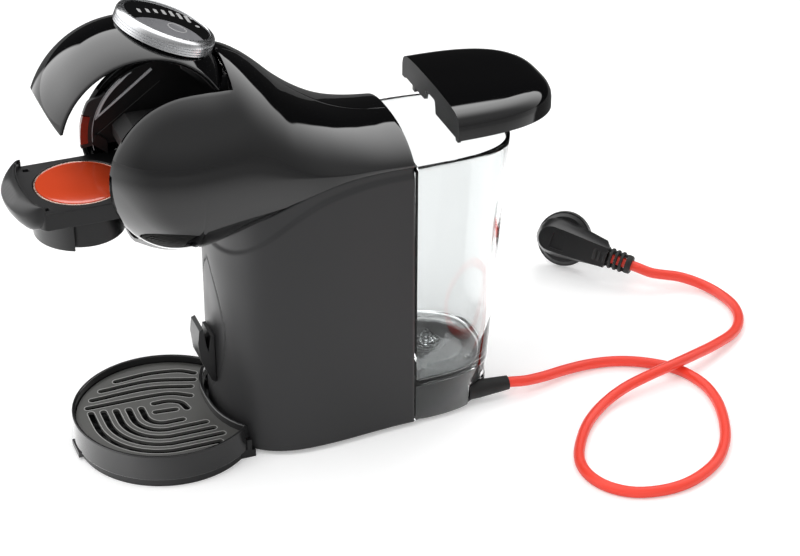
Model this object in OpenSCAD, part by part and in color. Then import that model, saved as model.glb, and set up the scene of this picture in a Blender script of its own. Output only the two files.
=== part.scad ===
// Pod coffee machine at rest: lever open, capsule drawer pulled out, tank lid lifted off.
// X runs across the machine, its front faces -Y, and Z = 0 is the worktop. Millimetres.

/* [Head] */
// Depth position of the head's centre
head_y = -59; // [-61:0.5:-57]
// Height of the head's centre
head_z = 200; // [198:0.5:202]
// Radius of the head in side view
head_r = 60.5; // [59.5:0.25:62]
// Half of the head's width over the side domes
head_half_w = 57.5; // [56:0.5:60]
// Half width of the mouth between the side domes
mouth_half_w = 32.5; // [31.8:0.1:34]
// Wall thickness of the moulded covers
wall = 2.4; // [1.6:0.2:3]
// Gap between neighbouring moulded pieces
gap = 0.3; // [0.2:0.05:0.6]

/* [Lever] */
// Depth of the lever's pivot behind the head's centre
pivot_back = 31; // [30:0.5:32]
// Height of the lever's pivot above the head's centre
pivot_up = 46.5; // [46:0.25:47]
// Depth position of the open lever shell's centre of curvature
lever_y = -85.5; // [-87:0.5:-84]
// Height of the open lever shell's centre of curvature
lever_z = 225.5; // [224:0.5:227]
// Angle of the lever's front end from the vertical
lever_front_a = 76.5; // [70:0.5:80]
// Angle of the lever's rear end from the vertical
lever_rear_a = -62; // [-64:0.5:-50]
// Thickness of the lever's outer shell
lever_t = 2.6; // [2:0.2:3.2]
// Thickness of the liner inside the lever
liner_t = 2; // [1.4:0.2:2.4]
// Radius of the lever's pivot pin
lever_pin_r = 3; // [2.5:0.25:3.5]
// Radial running clearance of every pin and shaft
run_fit = 0.06; // [0.03:0.01:0.09]

/* [Dial] */
// Depth position of the dial face's centre
dial_y = -61.2; // [-62:0.2:-60]
// Height of the dial face's centre
dial_z = 282.9; // [282:0.2:285]
// Tilt of the dial towards the rear
dial_tilt = 23.4; // [22:0.2:25]
// Outer radius of the knurled ring
dial_r = 30; // [29:0.25:31]
// Height of the knurled ring
dial_h = 8.5; // [7.5:0.25:9]
// Radius of the clear face
face_r = 25.6; // [24:0.2:26]
// Radius of the start button
button_r = 5; // [4:0.25:6]

/* [Brewing jaw] */
// Depth position of the jaw's two guide rods
rod_y = -24; // [-25:0.25:-23]
// Distance of each guide rod from the middle
rod_x = 10.5; // [8:0.25:11]
// Radius of a guide rod
rod_r = 2.5; // [2:0.1:3]
// Height that the open jaw stands above its closed place
jaw_rise = 8; // [6:0.5:9]
// Half width of the jaw
jaw_half_w = 24; // [20:0.5:26]
// Length of the piercing needle below the jaw
needle_l = 3.4; // [2:0.2:3.6]

/* [Capsule drawer] */
// Half width of the drawer
drawer_half_w = 31.5; // [30.5:0.25:31.7]
// Height of the drawer's deck
deck_z = 189; // [188:0.5:190]
// Height of the drawer's body below its deck
drawer_h = 10.8; // [10:0.2:11.2]
// Depth of the capsule's centre with the drawer out
capsule_y = -118.8; // [-120:0.2:-117]
// Radius of the capsule's foil rim
capsule_r = 26.7; // [26:0.1:27.2]
// Depth of the capsule's cup below its rim
capsule_h = 24; // [20:0.5:26]

/* [Drip tray] */
// Radius of the drip tray
tray_r = 57.6; // [56:0.2:60]
// Depth position of the tray's centre
tray_y = -75.5; // [-78:0.5:-74]
// Height of the tray's rim
tray_z = 23.2; // [22:0.2:26]
// Height of the stand ring under the bowl
stand_h = 6; // [5:0.5:7]
// Depth of the grid below the rim
grid_drop = 4.6; // [4:0.2:6]
// Thickness of the grid
grid_t = 1.8; // [1.4:0.2:2.2]
// Width of the grid's slots
slot_w = 3.6; // [3.2:0.2:4]

/* [Column] */
// Half width of the column at its widest
column_half_w = 50.5; // [49.5:0.25:51]
// Depth position of the widest place
column_mid_y = 8; // [4:1:12]
// Distance from the widest place to the column's nose
nose_l = 52; // [51:0.5:53]
// Depth position of the joint between column and tank
seam_y = 73; // [71:0.5:75]
// Height of the column's underside above the worktop
foot_h = 2; // [1.5:0.25:3]

/* [Tank] */
// Height of the tank's rim
tank_z = 184.8; // [180:0.5:186]
// Height of the tank's underside
seat_z = 28; // [24:0.5:32]
// Half width of the tank at its rim
tank_half_w = 46.5; // [45.5:0.25:47]
// Half width of the rear body at the worktop
seat_half_w = 44.5; // [43:0.25:45.5]
// Depth of the tank behind the joint at its rim
tank_l = 73; // [68:1:76]
// Depth of the rear body behind the joint at the worktop
seat_l = 60; // [56:1:64]
// Wall thickness of the clear tank
tank_t = 2.2; // [1.6:0.2:2.6]
// How far the lid is carried back while it is off
lid_back = 27; // [20:1:32]
// How far the lid is lifted while it is off
lid_up = 13; // [10:1:18]
// Height of the lid's crown above the tank's rim
lid_h = 18; // [14:0.5:20]
// Distance of the valve's centre behind the joint
valve_back = 26; // [24:1:30]

/* [Mains lead] */
// Diameter of the mains lead
cord_d = 7; // [6:0.5:8]

/* [Hidden] */

facets = 72;
pivot_y = head_y + pivot_back;
pivot_z = head_z + pivot_up;
lever_half_w = mouth_half_w - 0.7;
drawer_floor = deck_z - drawer_h;
cup_r = capsule_r - 2.2;
cup_floor = deck_z - capsule_h - 5.5;
grid_z = tray_z - grid_drop;
valve_y = seam_y + valve_back;
cheek_t = 2;
cheek_x = mouth_half_w - 0.9;
rail_z = drawer_floor - gap;

// ---- general helpers ----
function mix(a, b, t) = a + (b - a) * t;
function ease(t) = let (c = max(0, min(1, t))) c * c * (3 - 2 * c);
function unit(v) = v / max(norm(v), 1e-9);

// Faces of a tube through rings of n points each, closed by a flat cap at both ends.
function tube_faces(rings, n) = concat(
  [for (i = [0:rings - 2], j = [0:n - 1]) let (k = (j + 1) % n)
    [i * n + j, i * n + k, (i + 1) * n + k, (i + 1) * n + j]],
  [[for (j = [n - 1:-1:0]) j]],
  [[for (j = [0:n - 1]) (rings - 1) * n + j]]);

// A solid through a list of rings that all hold the same number of points.
module ring_solid(rings) {
  n = len(rings[0]);
  polyhedron(points = [for (r = rings) each r], faces = [for (f = tube_faces(len(rings), n)) [for (k = [len(f) - 1:-1:0]) f[k]]],
    convexity = 8);
}

// Unit normals of a grid of points.
function grid_normal(g, i, j) = let (a = len(g) - 1, b = len(g[0]) - 1)
  unit(cross(g[min(i + 1, a)][j] - g[max(i - 1, 0)][j], g[i][min(j + 1, b)] - g[i][max(j - 1, 0)]));

// A thick sheet between two grids of the same size.
module sheet_solid(a, b) {
  m = len(a);
  n = len(a[0]);
  s = m * n;
  rim = concat([for (j = [0:n - 1]) j], [for (i = [1:m - 1]) i * n + n - 1],
    [for (j = [n - 2:-1:0]) (m - 1) * n + j], [for (i = [m - 2:-1:1]) i * n]);
  polyhedron(points = concat([for (r = a) each r], [for (r = b) each r]), faces = concat(
    [for (i = [0:m - 2], j = [0:n - 2]) [i * n + j, i * n + j + 1, (i + 1) * n + j + 1, (i + 1) * n + j]],
    [for (i = [0:m - 2], j = [0:n - 2])
      [s + i * n + j, s + (i + 1) * n + j, s + (i + 1) * n + j + 1, s + i * n + j + 1]],
    [for (k = [0:len(rim) - 1]) let (p = rim[k], q = rim[(k + 1) % len(rim)]) [q, p, s + p, s + q]]),
    convexity = 8);
}

// ---- outlines in plan ----
// Half width of the column and of the rear body at depth y, for a front nose and a D-shaped tail.
function nose_x(y, grow) = let (t = min(1, max(0, (column_mid_y - y) / (nose_l + grow))))
  (column_half_w + grow) * pow(1 - pow(t, 2.4), 1 / 2.4);
function column_outline(grow) = let (
  nose = [for (a = [0:7.5:90]) let (c = pow(sin(a), 2 / 2.4), s = pow(cos(a), 2 / 2.4))
    [(column_half_w + grow) * c, column_mid_y - (nose_l + grow) * s]],
  side = [for (k = [1:5]) let (t = k / 5)
    [mix(column_half_w, tank_half_w - 0.3, ease(t)) + grow, mix(column_mid_y, seam_y, t)]],
  half = concat(nose, side))
  concat(half, [for (k = [len(half) - 1:-1:1]) [-half[k][0], half[k][1]]]);
// D-shaped outline of the tank and its seat at height z, inset by d.
function tail_outline(z, d, y0 = seam_y, deep = 0) = let (
  t = z / tank_z,
  w = mix(seat_half_w, tank_half_w, t) - d,
  l = mix(seat_l, tank_l, t) - (y0 - seam_y) - d + deep,
  e = mix(2.8, 3.3, t),
  arc = [for (a = [0:7.5:90]) [w * pow(cos(a), 2 / e), y0 + l * pow(sin(a), 2 / e)]])
  concat(arc, [for (k = [len(arc) - 2:-1:0]) [-arc[k][0], arc[k][1]]]);
function lift(outline, z) = [for (p = outline) [p[0], p[1], z]];

// ---- the head and neck cover ----
crown = [[-59, 260.5], [-44, 260.3], [-29, 259.8], [-15, 251.5], [-6, 243.5], [3, 234.5], [13, 226],
  [24, 218.3], [33, 213.2], [45, 208.3], [58, 205], [73, 203]];
flank = [[-59, 57.5], [-44, 56.6], [-30, 55.2], [-10, 52.6], [8, 50.8], [30, 49], [54, 47.4], [73, 46.5]];
belt = [[-59, 200], [-30, 199], [-10, 196], [10, 192.5], [30, 189.5], [50, 188.5], [73, 187]];
hem_x = [[-59, 32.5], [-50, 35.5], [-42, 38.5], [-25, 43.8], [-6.5, 47.8], [12, 49.8], [30, 48.6],
  [49, 47.2], [73, 46.2]];
hem_z = [[-59, 150.1], [-50, 153], [-42, 157], [-25, 165.8], [-6.5, 175], [12, 181.8], [30, 185.2],
  [49, 186.2], [73, 185.6]];
// Depths stretch so that the tables' ends stay on the head's centre and on the tank's joint.
function table_y(y) = -59 + (y - head_y) * 132 / (seam_y - head_y);
function head_h(y) = sqrt(max(0, head_r * head_r - (y - head_y) * (y - head_y)));
mouth_r = head_r * sqrt(1 - pow(mouth_half_w / head_half_w, 2));
function hem_drop(y) = sqrt(max(0, mouth_r * mouth_r - (y - head_y) * (y - head_y)));
function crown_z(y) = y < head_y ? head_z + head_h(y)
  : lookup(table_y(y), crown) + (head_z + head_r - 260.5) * (1 - ease((y - head_y) / 90));
function flank_x(y) = y < head_y ? head_half_w * head_h(y) / head_r
  : lookup(table_y(y), flank) + mix(head_half_w - 57.5, tank_half_w - 46.5, ease((y - head_y) / 60));
function belt_z(y) = y < head_y ? head_z
  : lookup(table_y(y), belt) + (head_z - 200) * (1 - ease((y - head_y) / 80));
function low_x(y) = y < head_y ? mouth_half_w
  : lookup(table_y(y), hem_x) + mix(mouth_half_w - 32.5, column_half_w - 50.5, ease((y - head_y) / 60));
function low_z(y) = y < head_y ? head_z - hem_drop(y)
  : lookup(table_y(y), hem_z) + (head_z - mouth_r - 150.1) * (1 - ease((y - head_y) / 60));
// Where the cover starts: the mouth's edge on the head, the centre line on the neck.
mouth_end = head_y + 26;
function start_x(y) = mix(mouth_half_w, 0.1, ease((y - mouth_end) / 4));
function cover_point(y, s) = let (k = ease((y - head_y - 14) / 70), w = flank_x(y))
  s < 0.5 ? let (x = mix(min(start_x(y), w), w, sin(s * 180)))
    [x, y, belt_z(y) + (crown_z(y) - belt_z(y)) * pow(max(0, 1 - pow(x / w, mix(2, 2.5, k))), 1 / mix(2, 1.2, k))]
  : let (t = s * 2 - 1)
    [w - (w - low_x(y)) * pow(t, 2.3), y, mix(belt_z(y), low_z(y), t)];
cover_stations = concat([for (a = [80:-16:0]) head_y - mouth_r * sin(a) * 0.995],
  [for (y = [head_y + 10, head_y + 19, mouth_end, mouth_end + 1.3, mouth_end + 2.7, mouth_end + 4]) y],
  [for (k = [1:9]) mix(mouth_end + 4, seam_y - gap, k / 9)]);
cover_grid = [for (y = cover_stations) [for (k = [0:12]) cover_point(y, k / 12)]];

cover_inner = [for (i = [0:len(cover_grid) - 1]) [for (j = [0:12])
  let (p = cover_grid[i][j] + wall * grid_normal(cover_grid, i, j)) [max(p[0], cover_grid[i][0][0]), p[1], p[2]]]];
module cover_half() {
  sheet_solid(cover_grid, cover_inner);
}

module cowl_right() { color("#26262a") cover_half(); }
module cowl_left() { color("#26262a") mirror([1, 0, 0]) cover_half(); }

// Underside of the head between the domes, with the outlet hole and cooling slots.
function bowl_point(x, y, r) = let (rx = r * sqrt(1 - pow(x / head_half_w, 2)))
  [x, y, head_z - sqrt(rx * rx - (y - head_y) * (y - head_y))];
module chin_grille() {
  w = mouth_half_w - 0.6;
  front = head_y - 33;
  rear = column_mid_y - nose_l - 2;
  outer = [for (i = [0:6]) [for (j = [0:8]) bowl_point(mix(w, -w, j / 8), mix(front, rear, i / 6), head_r)]];
  color("#1c1c1e") difference() {
    sheet_solid(outer, [for (r = outer) [for (p = r) p + [0, 0, wall]]]);
    translate([0, outlet_y, head_z - head_r - 5]) cylinder(h = 30, r = 12, $fn = 48);
  }
}
outlet_y = tray_y;

// ---- column and base ----
module outline_block(grow, z0, z1) {
  translate([0, 0, z0]) linear_extrude(z1 - z0) polygon(column_outline(grow));
}
// Region under the cover's hem, seen from the side.
module under_hem(down) {
  rotate([90, 0, 90]) translate([0, 0, -80]) linear_extrude(160)
    polygon(concat([[-60, 0], [-60, 143 - down]],
      [for (y = [-46, -38, -30, -20, -10, 2, 14, 28, 45, 60, seam_y]) [y, low_z(y) - down]], [[seam_y, 0]]));
}
column_z0 = foot_h + 1;
module column_shell() {
  color("#2a2a2c") difference() {
    union() {
      intersection() {
        outline_block(0, column_z0, 190);
        under_hem(7);
      }
      intersection() {
        outline_block(-1.3, column_z0, 190);
        under_hem(gap + 0.2);
      }
    }
    outline_block(-wall - 0.9, column_z0 - 1, 191);
    translate([-tank_half_w, seam_y - wall, 0]) cube([2 * tank_half_w, 10, 200]);
    front_cut(0.4);
    translate([0, column_mid_y, 24]) rotate([90, 0, 0]) cylinder(h = 80, r = 5, $fn = 32);
  }
}
// Leaf-shaped inset on the column's nose.
leaf_low = 38;
leaf_top = 136;
leaf_wide = 21;
module leaf_2d(d) {
  intersection_for(s = [-1, 1])
    translate([s * (62 - leaf_wide - d), (leaf_low + leaf_top) / 2 - 10]) circle(r = 62 + d, $fn = 96);
}
module front_cut(d) {
  translate([0, 0, 0]) rotate([90, 0, 0]) translate([0, 0, 10]) linear_extrude(60) leaf_2d(d);
}
module front_panel() {
  color("#2c2c2e") difference() {
    intersection() {
      outline_block(-0.2, 30, 140);
      rotate([90, 0, 0]) translate([0, 0, 10]) linear_extrude(60) leaf_2d(0);
    }
    outline_block(-0.2 - wall, 29, 141);
    for (s = [-1, 1]) translate([s * 6, -30, hook_z + 6]) rotate([90, 0, 0]) cylinder(h = 30, r = 1.6, $fn = 24);
  }
}
// Bracket that can hold the tray halfway up for small cups.
hook_z = 56;
nose_y = column_mid_y - nose_l;
module tray_hook() {
  w = 9;
  color("#1e1e20") difference() {
    translate([-w, 0, 0]) rotate([90, 0, 90]) linear_extrude(2 * w)
      polygon([[nose_y - 0.1, hook_z - 18], [nose_y - 3, hook_z - 16], [nose_y - 9, hook_z - 1], [nose_y - 10.5, hook_z + 12],
        [nose_y - 9.5, hook_z + 21], [nose_y - 7, hook_z + 22], [nose_y - 5.2, hook_z + 9], [nose_y - 4.2, hook_z + 5],
        [nose_y - 2.5, hook_z + 16], [nose_y - 0.1, hook_z + 16]]);
    translate([-w + 2.2, nose_y - 8, hook_z - 8]) cube([2 * w - 4.4, 4.2, 14]);
  }
}
module base_plate() {
  color("#232325") difference() {
    translate([0, 0, foot_h]) linear_extrude(3) polygon(column_outline(-wall - 0.9 - gap));
    for (p = screw_places) translate([p[0], p[1], 0]) cylinder(h = 12, r = 1.7, $fn = 24);
  }
}
screw_places = [[-32, 2], [32, 2], [-32, 58], [32, 58]];
module rubber_feet() {
  color("#101010") {
    translate([-17, -6, 0]) cube([34, 12, foot_h]);
    for (s = [-1, 1]) translate([s * 26, column_mid_y - 30, 0]) cylinder(h = foot_h, r = 6, $fn = facets);
    for (s = [-1, 1]) translate([s * 30, seam_y + 28, 0]) cylinder(h = foot_h, r = 7, $fn = facets);
  }
}
module tank_seat() {
  n = [for (z = [foot_h, seat_z - 3, seat_z - gap]) lift(tail_outline(z, z > seat_z - 1 ? 0.8 : 0, seam_y + gap), z)];
  color("#29292b") difference() {
    ring_solid(n);
    translate([0, 0, 0]) ring_solid([for (z = [foot_h + 2.4, seat_z - 3]) lift(tail_outline(z, 2.6, seam_y + 3), z)]);
    translate([0, valve_y, 0]) cylinder(h = 60, r = 9.5, $fn = 48);
    translate([cord_exit[0], seam_y + 34, cord_exit[2]]) rotate([-90, 0, 0]) cylinder(h = 60, r = gland_r, $fn = 48);
    translate([-20, seam_y - 1, 8]) cube([40, 6, 12]);
  }
}
module rear_wall() {
  color("#262628") difference() {
    translate([0, 0, foot_h + 3.2]) linear_extrude(tank_z - 5.2 - foot_h)
      translate([-tank_half_w + wall + 0.9, seam_y - wall]) square([2 * tank_half_w - 2 * wall - 1.8, wall]);
    translate([-19, seam_y - 10, 9]) cube([38, 20, 10]);
  }
}
// Socket in the seat that opens the tank's valve and takes the water in.
module tank_coupler() {
  color("#3a3a3d") translate([0, valve_y, 0]) difference() {
    union() {
      translate([0, 0, 8]) cylinder(h = seat_z - 8 - gap, r = 9.2, $fn = 64);
      translate([0, 0, seat_z - gap - 0.1]) cylinder(h = 2.5, r = 1.2, $fn = 24);
    }
    difference() {
      translate([0, 0, seat_z - 8]) cylinder(h = 20, r = 6.6, $fn = 64);
      translate([0, 0, seat_z - 9]) cylinder(h = 30, r = 1.2, $fn = 24);
    }
    translate([0, 0, 12]) rotate([90, 0, 0]) cylinder(h = 30, r = 2.2, $fn = 24);
  }
}
module coupler_seal() {
  color("#b9411f") translate([0, valve_y, seat_z - 7.7]) difference() {
    cylinder(h = 2.2, r = 6.6 - run_fit, $fn = 64);
    translate([0, 0, -1]) cylinder(h = 5, r = 4.6, $fn = 64);
  }
}

// ---- parts inside the column ----
module chassis_frame() {
  color("#3c3f43") difference() {
    union() {
      translate([-40, -16, foot_h + 3]) cube([80, 66, 4]);
      for (s = [-1, 1]) translate([s * 37.5 - 1.5, 8, foot_h + 6.9]) cube([3, 40, 150]);
      for (z = [66, 112, 154]) translate([-36.1, 46, z]) cube([72.2, 2, 5]);
      translate([-36.1, 8, 152]) cube([72.2, 8, 6.7]);
      translate([-33, -30, 154]) cube([66, 38.1, 4.7]);
    }
    for (p = screw_places) translate([p[0], p[1], 0]) cylinder(h = 12, r = 1.2, $fn = 24);
    for (s = [-1, 1]) translate([s * 37.5, 12, 155.5]) rotate([0, 90, 0]) cylinder(h = 10, r = 1.4, center = true, $fn = 24);
    for (s = [-1, 1]) translate([s * 24, -24, 150]) cylinder(h = 12, r = 1.4, $fn = 24);
  }
}
pump_z = 46;
module water_pump() {
  color("#8b8f94") translate([0, 26, pump_z]) rotate([0, 90, 0]) {
    cylinder(h = 44, r = 15, center = true, $fn = 64);
    translate([0, 0, 21.9]) cylinder(h = 4.1, r = 7, $fn = 48);
    translate([0, 0, 25.9]) cylinder(h = 3.1, r = 2.4, $fn = 32);
    translate([0, 0, -27]) cylinder(h = 5.1, r = 6, $fn = 48);
    translate([0, 0, -31]) cylinder(h = 4.1, r = 2.4, $fn = 32);
  }
}
module pump_mounts() {
  color("#151515") for (s = [-1, 1]) translate([s * 12, 26, 0]) difference() {
    translate([-4, -13, foot_h + 7]) cube([8, 26, pump_z - foot_h - 12]);
    translate([0, 0, pump_z]) rotate([0, 90, 0]) cylinder(h = 20, r = 15.05, center = true, $fn = 64);
  }
}
heater_z = 128;
module heater_block() {
  color("#b9bcc0") translate([0, 24, 0]) difference() {
    union() {
      translate([0, 0, heater_z - 22]) cylinder(h = 40, r = 20, $fn = 72);
      translate([0, 0, heater_z + 17.9]) cylinder(h = 3.1, r = 23, $fn = 72);
      translate([-35.9, -3, heater_z - 26]) cube([71.8, 6, 4.1]);
    }
    translate([0, 0, heater_z + 6]) cylinder(h = 30, r = 1.2, $fn = 32);
  }
}
module flow_meter() {
  color("#d8d8d2") translate([0, 60, 78]) {
    cylinder(h = 12, r = 9, $fn = 48);
    translate([0, 0, 12]) cylinder(h = 5, r = 2.4, $fn = 32);
    translate([0, 0, -5]) cylinder(h = 5, r = 2.4, $fn = 32);
    translate([-4, 8.5, 2]) cube([8, seam_y - wall - 60 - 8.5 - 0.2, 8]);
  }
}
// A tube of round section swept along a path.
module sweep(path, r, n) {
  e = len(path) - 1;
  ring_solid([for (k = [e:-1:0]) let (d = unit(path[min(k + 1, e)] - path[max(k - 1, 0)]),
      side = unit(cross(d, abs(d[2]) > 0.9 ? [0, 1, 0] : [0, 0, 1])), up = cross(side, d))
    [for (a = [0:360 / n:359]) path[k] + r * (side * cos(a) + up * sin(a))]]);
}
// Corners of a hose's route are cut twice so that it bends rather than kinks.
function soft_corners(p, c) = concat([p[0]], [for (k = [1:len(p) - 2]) each
  [p[k] + c * unit(p[k - 1] - p[k]), p[k] + 0.3 * c * (unit(p[k - 1] - p[k]) + unit(p[k + 1] - p[k])),
   p[k] + c * unit(p[k + 1] - p[k])]], [p[len(p) - 1]]);
module water_hoses() {
  color("#e8e6e0") {
    sweep(soft_corners([[0, valve_y - 9.5, 12], [0, 60, 12], [0, 60, 72.8]], 5), 2, 12);
    sweep(soft_corners([[29.2, 26, pump_z], [33, 26, pump_z], [33, 26, 88], [15, 26, 88], [15, 26, heater_z - 26.2]], 3), 2, 12);
    sweep(soft_corners([[0, 24, heater_z + 21.2], [0, 24, heater_z + 35], [0, -10, heater_z + 35],
      [0, -10, 176], [0, -24, 176], [0, -24, deck_z + 6.2]], 4), 2, 12);
  }
}
module control_board() {
  color("#1f5a38") {
    translate([-34, 48.2, 100]) cube([60, 1.6, 46]);
    translate([-28, 49.7, 106]) cube([14, 9, 12]);
    translate([4, 49.7, 124]) cube([10, 7, 10]);
  }
}
module lever_switch() {
  color("#202022") translate([lug_x + lug_t + 0.1, pivot_y + 4, deck_z + 14]) difference() {
    cube([6, 12, 9]);
    translate([-1, 3, 4.5]) rotate([0, 90, 0]) cylinder(h = 10, r = 1.1, $fn = 24);
  }
}
module case_screws() {
  color("#c9ccd0") for (p = screw_places) translate([p[0], p[1], 0.6]) {
    cylinder(h = foot_h - 0.6, r = 3, $fn = 32);
    cylinder(h = 10, r = 1.2 - 0.02, $fn = 24);
  }
}

// ---- brewing head ----
cheek_r = head_r - 16.9;
lug_x = 18.2;
lug_t = 3;
module cheek_2d() {
  difference() {
    intersection() {
      translate([head_y, head_z]) circle(r = cheek_r, $fn = 120);
      translate([head_y - 50, deck_z + 6.4]) square([100, 60]);
    }
  }
}
module lug_2d() {
  difference() {
    union() {
      translate([pivot_y, pivot_z]) circle(r = 4.2, $fn = 48);
      polygon([[pivot_y - 4.1, pivot_z - 1], [pivot_y + 4.1, pivot_z - 1], [head_y + 47, pivot_z - 21.5], [head_y + 47, deck_z + 7],
        [head_y + 30, deck_z + 7], [head_y + 30, pivot_z - 16.5]]);
    }
    translate([pivot_y, pivot_z]) circle(r = lever_pin_r, $fn = 48);
  }
}
module frame_cheeks() {
  color("#161618") difference() {
    union() {
      for (x = [cheek_x - cheek_t, -cheek_x]) translate([x, 0, 0]) rotate([90, 0, 90]) linear_extrude(cheek_t) cheek_2d();
      for (x = [lug_x, -lug_x - lug_t]) translate([x, 0, 0]) rotate([90, 0, 90]) linear_extrude(lug_t) lug_2d();
      translate([-cheek_x + cheek_t - 0.05, head_y + 30, deck_z + 6.4]) cube([2 * (cheek_x - cheek_t) + 0.1, 10, 4]);
      for (s = [-1, 1]) translate([s * (cheek_x - 2.5) - 2.5, head_y + 30, 158.9]) cube([5, 10, deck_z - 158.9 + 6.45]);
    }
    for (s = [-1, 1]) translate([s * (cheek_x - 2.5), head_y + 35, 150]) cylinder(h = 20, r = 1.2, $fn = 24);
    for (s = [-1, 1]) translate([s * rod_x, rod_y, deck_z + 6.8]) cylinder(h = 10, r = rod_r + 0.02, $fn = 48);
  }
}
// Bright trim on the inner faces of the cheeks: an arc and its chord.
inlay_chord = 35.2;
module inlay_2d() {
  difference() {
    union() {
      difference() {
        circle(r = cheek_r - 0.3, $fn = 120);
        circle(r = cheek_r - 2, $fn = 120);
      }
      intersection() {
        rotate(35) translate([-60, inlay_chord]) square([120, 1.7]);
        circle(r = cheek_r - 0.3, $fn = 120);
      }
    }
    rotate(35) translate([-60, inlay_chord - 100]) square([120, 100]);
    rotate(35) translate([19, 0]) square([60, 100]);
  }
}
module silver_inlay() {
  color("#c4c4c6") for (x = [cheek_x - cheek_t - 0.8, -cheek_x + cheek_t]) translate([x, head_y, head_z])
    rotate([90, 0, 90]) linear_extrude(0.8) inlay_2d();
}
module indicator_window() {
  color("#5a1a14") translate([-mouth_half_w + 0.2, head_y, head_z]) rotate([90, 0, 90]) linear_extrude(3.2)
    difference() {
      rotate(90) polygon([[0, 0], for (a = [72:3:93]) 51 * [cos(a), sin(a)]]);
      circle(r = 46.4, $fn = 96);
    }
}
module drawer_rails() {
  color("#1d1d1f") {
    for (s = [-1, 1]) translate([s * 31 - 2.5, head_y - 38, rail_z - 4.4]) cube([5, 68 - gap, 4.4]);
    translate([-33.4, head_y + 24, rail_z - 4.4]) cube([66.8, 6 - gap, 4.4]);
  }
}
module drawer_guide() {
  color("#a8a8aa") for (x = [cheek_x - cheek_t - 1.9, -cheek_x + cheek_t + 0.1]) translate([x, 0, 0]) rotate([90, 0, 90])
    linear_extrude(1.8) polygon([[head_y - 35, deck_z + gap], [head_y - 44, deck_z + 8], [head_y - 42, deck_z + 14],
      [head_y - 39, deck_z + 13], [head_y - 35, deck_z + 9]]);
}
module lever_pin() {
  color("#b4b8bc") translate([-lug_x - lug_t, pivot_y, pivot_z]) rotate([0, 90, 0])
    cylinder(h = 2 * (lug_x + lug_t), r = lever_pin_r, $fn = 48);
}
// Two upright rods that the jaw slides on, seated in the cross piece.
module jaw_rods() {
  color("#b4b8bc") for (s = [-1, 1]) translate([s * rod_x, rod_y, deck_z + 6.85])
    cylinder(h = jaw_rise + 17, r = rod_r, $fn = 48);
}

// ---- lever ----
function visor_r(x, d) = (head_r - d) * sqrt(1 - pow(x / head_half_w, 2));
function visor_point(x, a, d) = let (r = visor_r(x, 0) - d)
  [x, lever_y - r * sin(a), lever_z + r * cos(a)];
function visor_grid(w, a0, a1, d) = [for (i = [0:20]) [for (j = [0:10])
  visor_point(mix(-w, w, j / 10), mix(a0, a1, i / 20), d)]];
module lever_shell() {
  color("#48484b") sheet_solid(visor_grid(lever_half_w, lever_rear_a, lever_front_a, 0),
    visor_grid(lever_half_w, lever_rear_a, lever_front_a, lever_t));
}
module lever_liner() {
  w = cheek_x - cheek_t - 0.6;
  color("#151516") sheet_solid(visor_grid(w, lever_rear_a + 1, lever_front_a - 1, lever_t + 0.25),
    visor_grid(w, lever_rear_a + 1, lever_front_a - 1, lever_t + 0.25 + liner_t));
}
arm_x = 15.4;
arm_t = 2.5;
arm_in = visor_r(arm_x + arm_t, 0) - lever_t - liner_t - 0.7;
arm_end = [lever_y - arm_in * sin(lever_rear_a + 1), lever_z + arm_in * cos(lever_rear_a + 1)];
module arm_2d() {
  difference() {
    union() {
      translate([pivot_y, pivot_z]) circle(r = 4.6, $fn = 48);
      intersection() {
        translate([lever_y, lever_z]) circle(r = arm_in, $fn = 180);
        polygon([arm_end, arm_end + [0, -5.7], arm_end + [-8, -0.7], arm_end + [-19, 9], arm_end + [-21, 25]]);
      }
      polygon([arm_end + [-0.3, -0.2], arm_end + [-0.3, -5.5], [pivot_y - 6, pivot_z - 4], [pivot_y, pivot_z - 4.6], [pivot_y, pivot_z + 4.6]]);
    }
    translate([pivot_y, pivot_z]) circle(r = lever_pin_r + run_fit, $fn = 48);
  }
}
module lever_arms() {
  color("#1a1a1c") for (x = [arm_x, -arm_x - arm_t]) translate([x, 0, 0]) rotate([90, 0, 90]) linear_extrude(arm_t) arm_2d();
}

// ---- dial ----
module on_dial() {
  translate([0, dial_y, dial_z]) rotate([-dial_tilt, 0, 0]) children();
}
crown_drop = norm([dial_y - lever_y, dial_z - lever_z]) - head_r;
function saddle_z(r, b) = let (x = r * cos(b), y = r * sin(b), rx = head_r * sqrt(1 - pow(x / head_half_w, 2)))
  sqrt(rx * rx - y * y) - head_r - crown_drop;
module dial_base() {
  base_r = dial_r - 3;
  function ring(r, z) = [for (b = [0:10:350]) [r * cos(b), r * sin(b), z]];
  color("#161617") on_dial() difference() {
    ring_solid(concat([ring(4, -1.35), ring(base_r - 1.8, -1.35), ring(base_r - 1.6, -2.6), ring(base_r, -2.6)],
    [for (r = [base_r, 22, 16, 10, 4]) [for (b = [0:10:350]) [r * cos(b), r * sin(b), saddle_z(r, b) + 0.3]]]));
    translate([button_at[0], button_at[1], -6]) cylinder(h = 8, r = button_r + 0.2, $fn = 48);
  }
}
button_at = [8.6, 3.8];
module dial_face() {
  color("#0e0e10") on_dial() difference() {
    translate([0, 0, -1.3]) cylinder(h = 1.3, r = face_r, $fn = 96);
    translate([button_at[0], button_at[1], -3]) cylinder(h = 6, r = button_r + 0.2, $fn = 48);
  }
}
module start_button() {
  color("#8f9093") on_dial() translate([button_at[0], button_at[1], -1.25]) cylinder(h = 1.35, r = button_r, $fn = 48);
}
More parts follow.
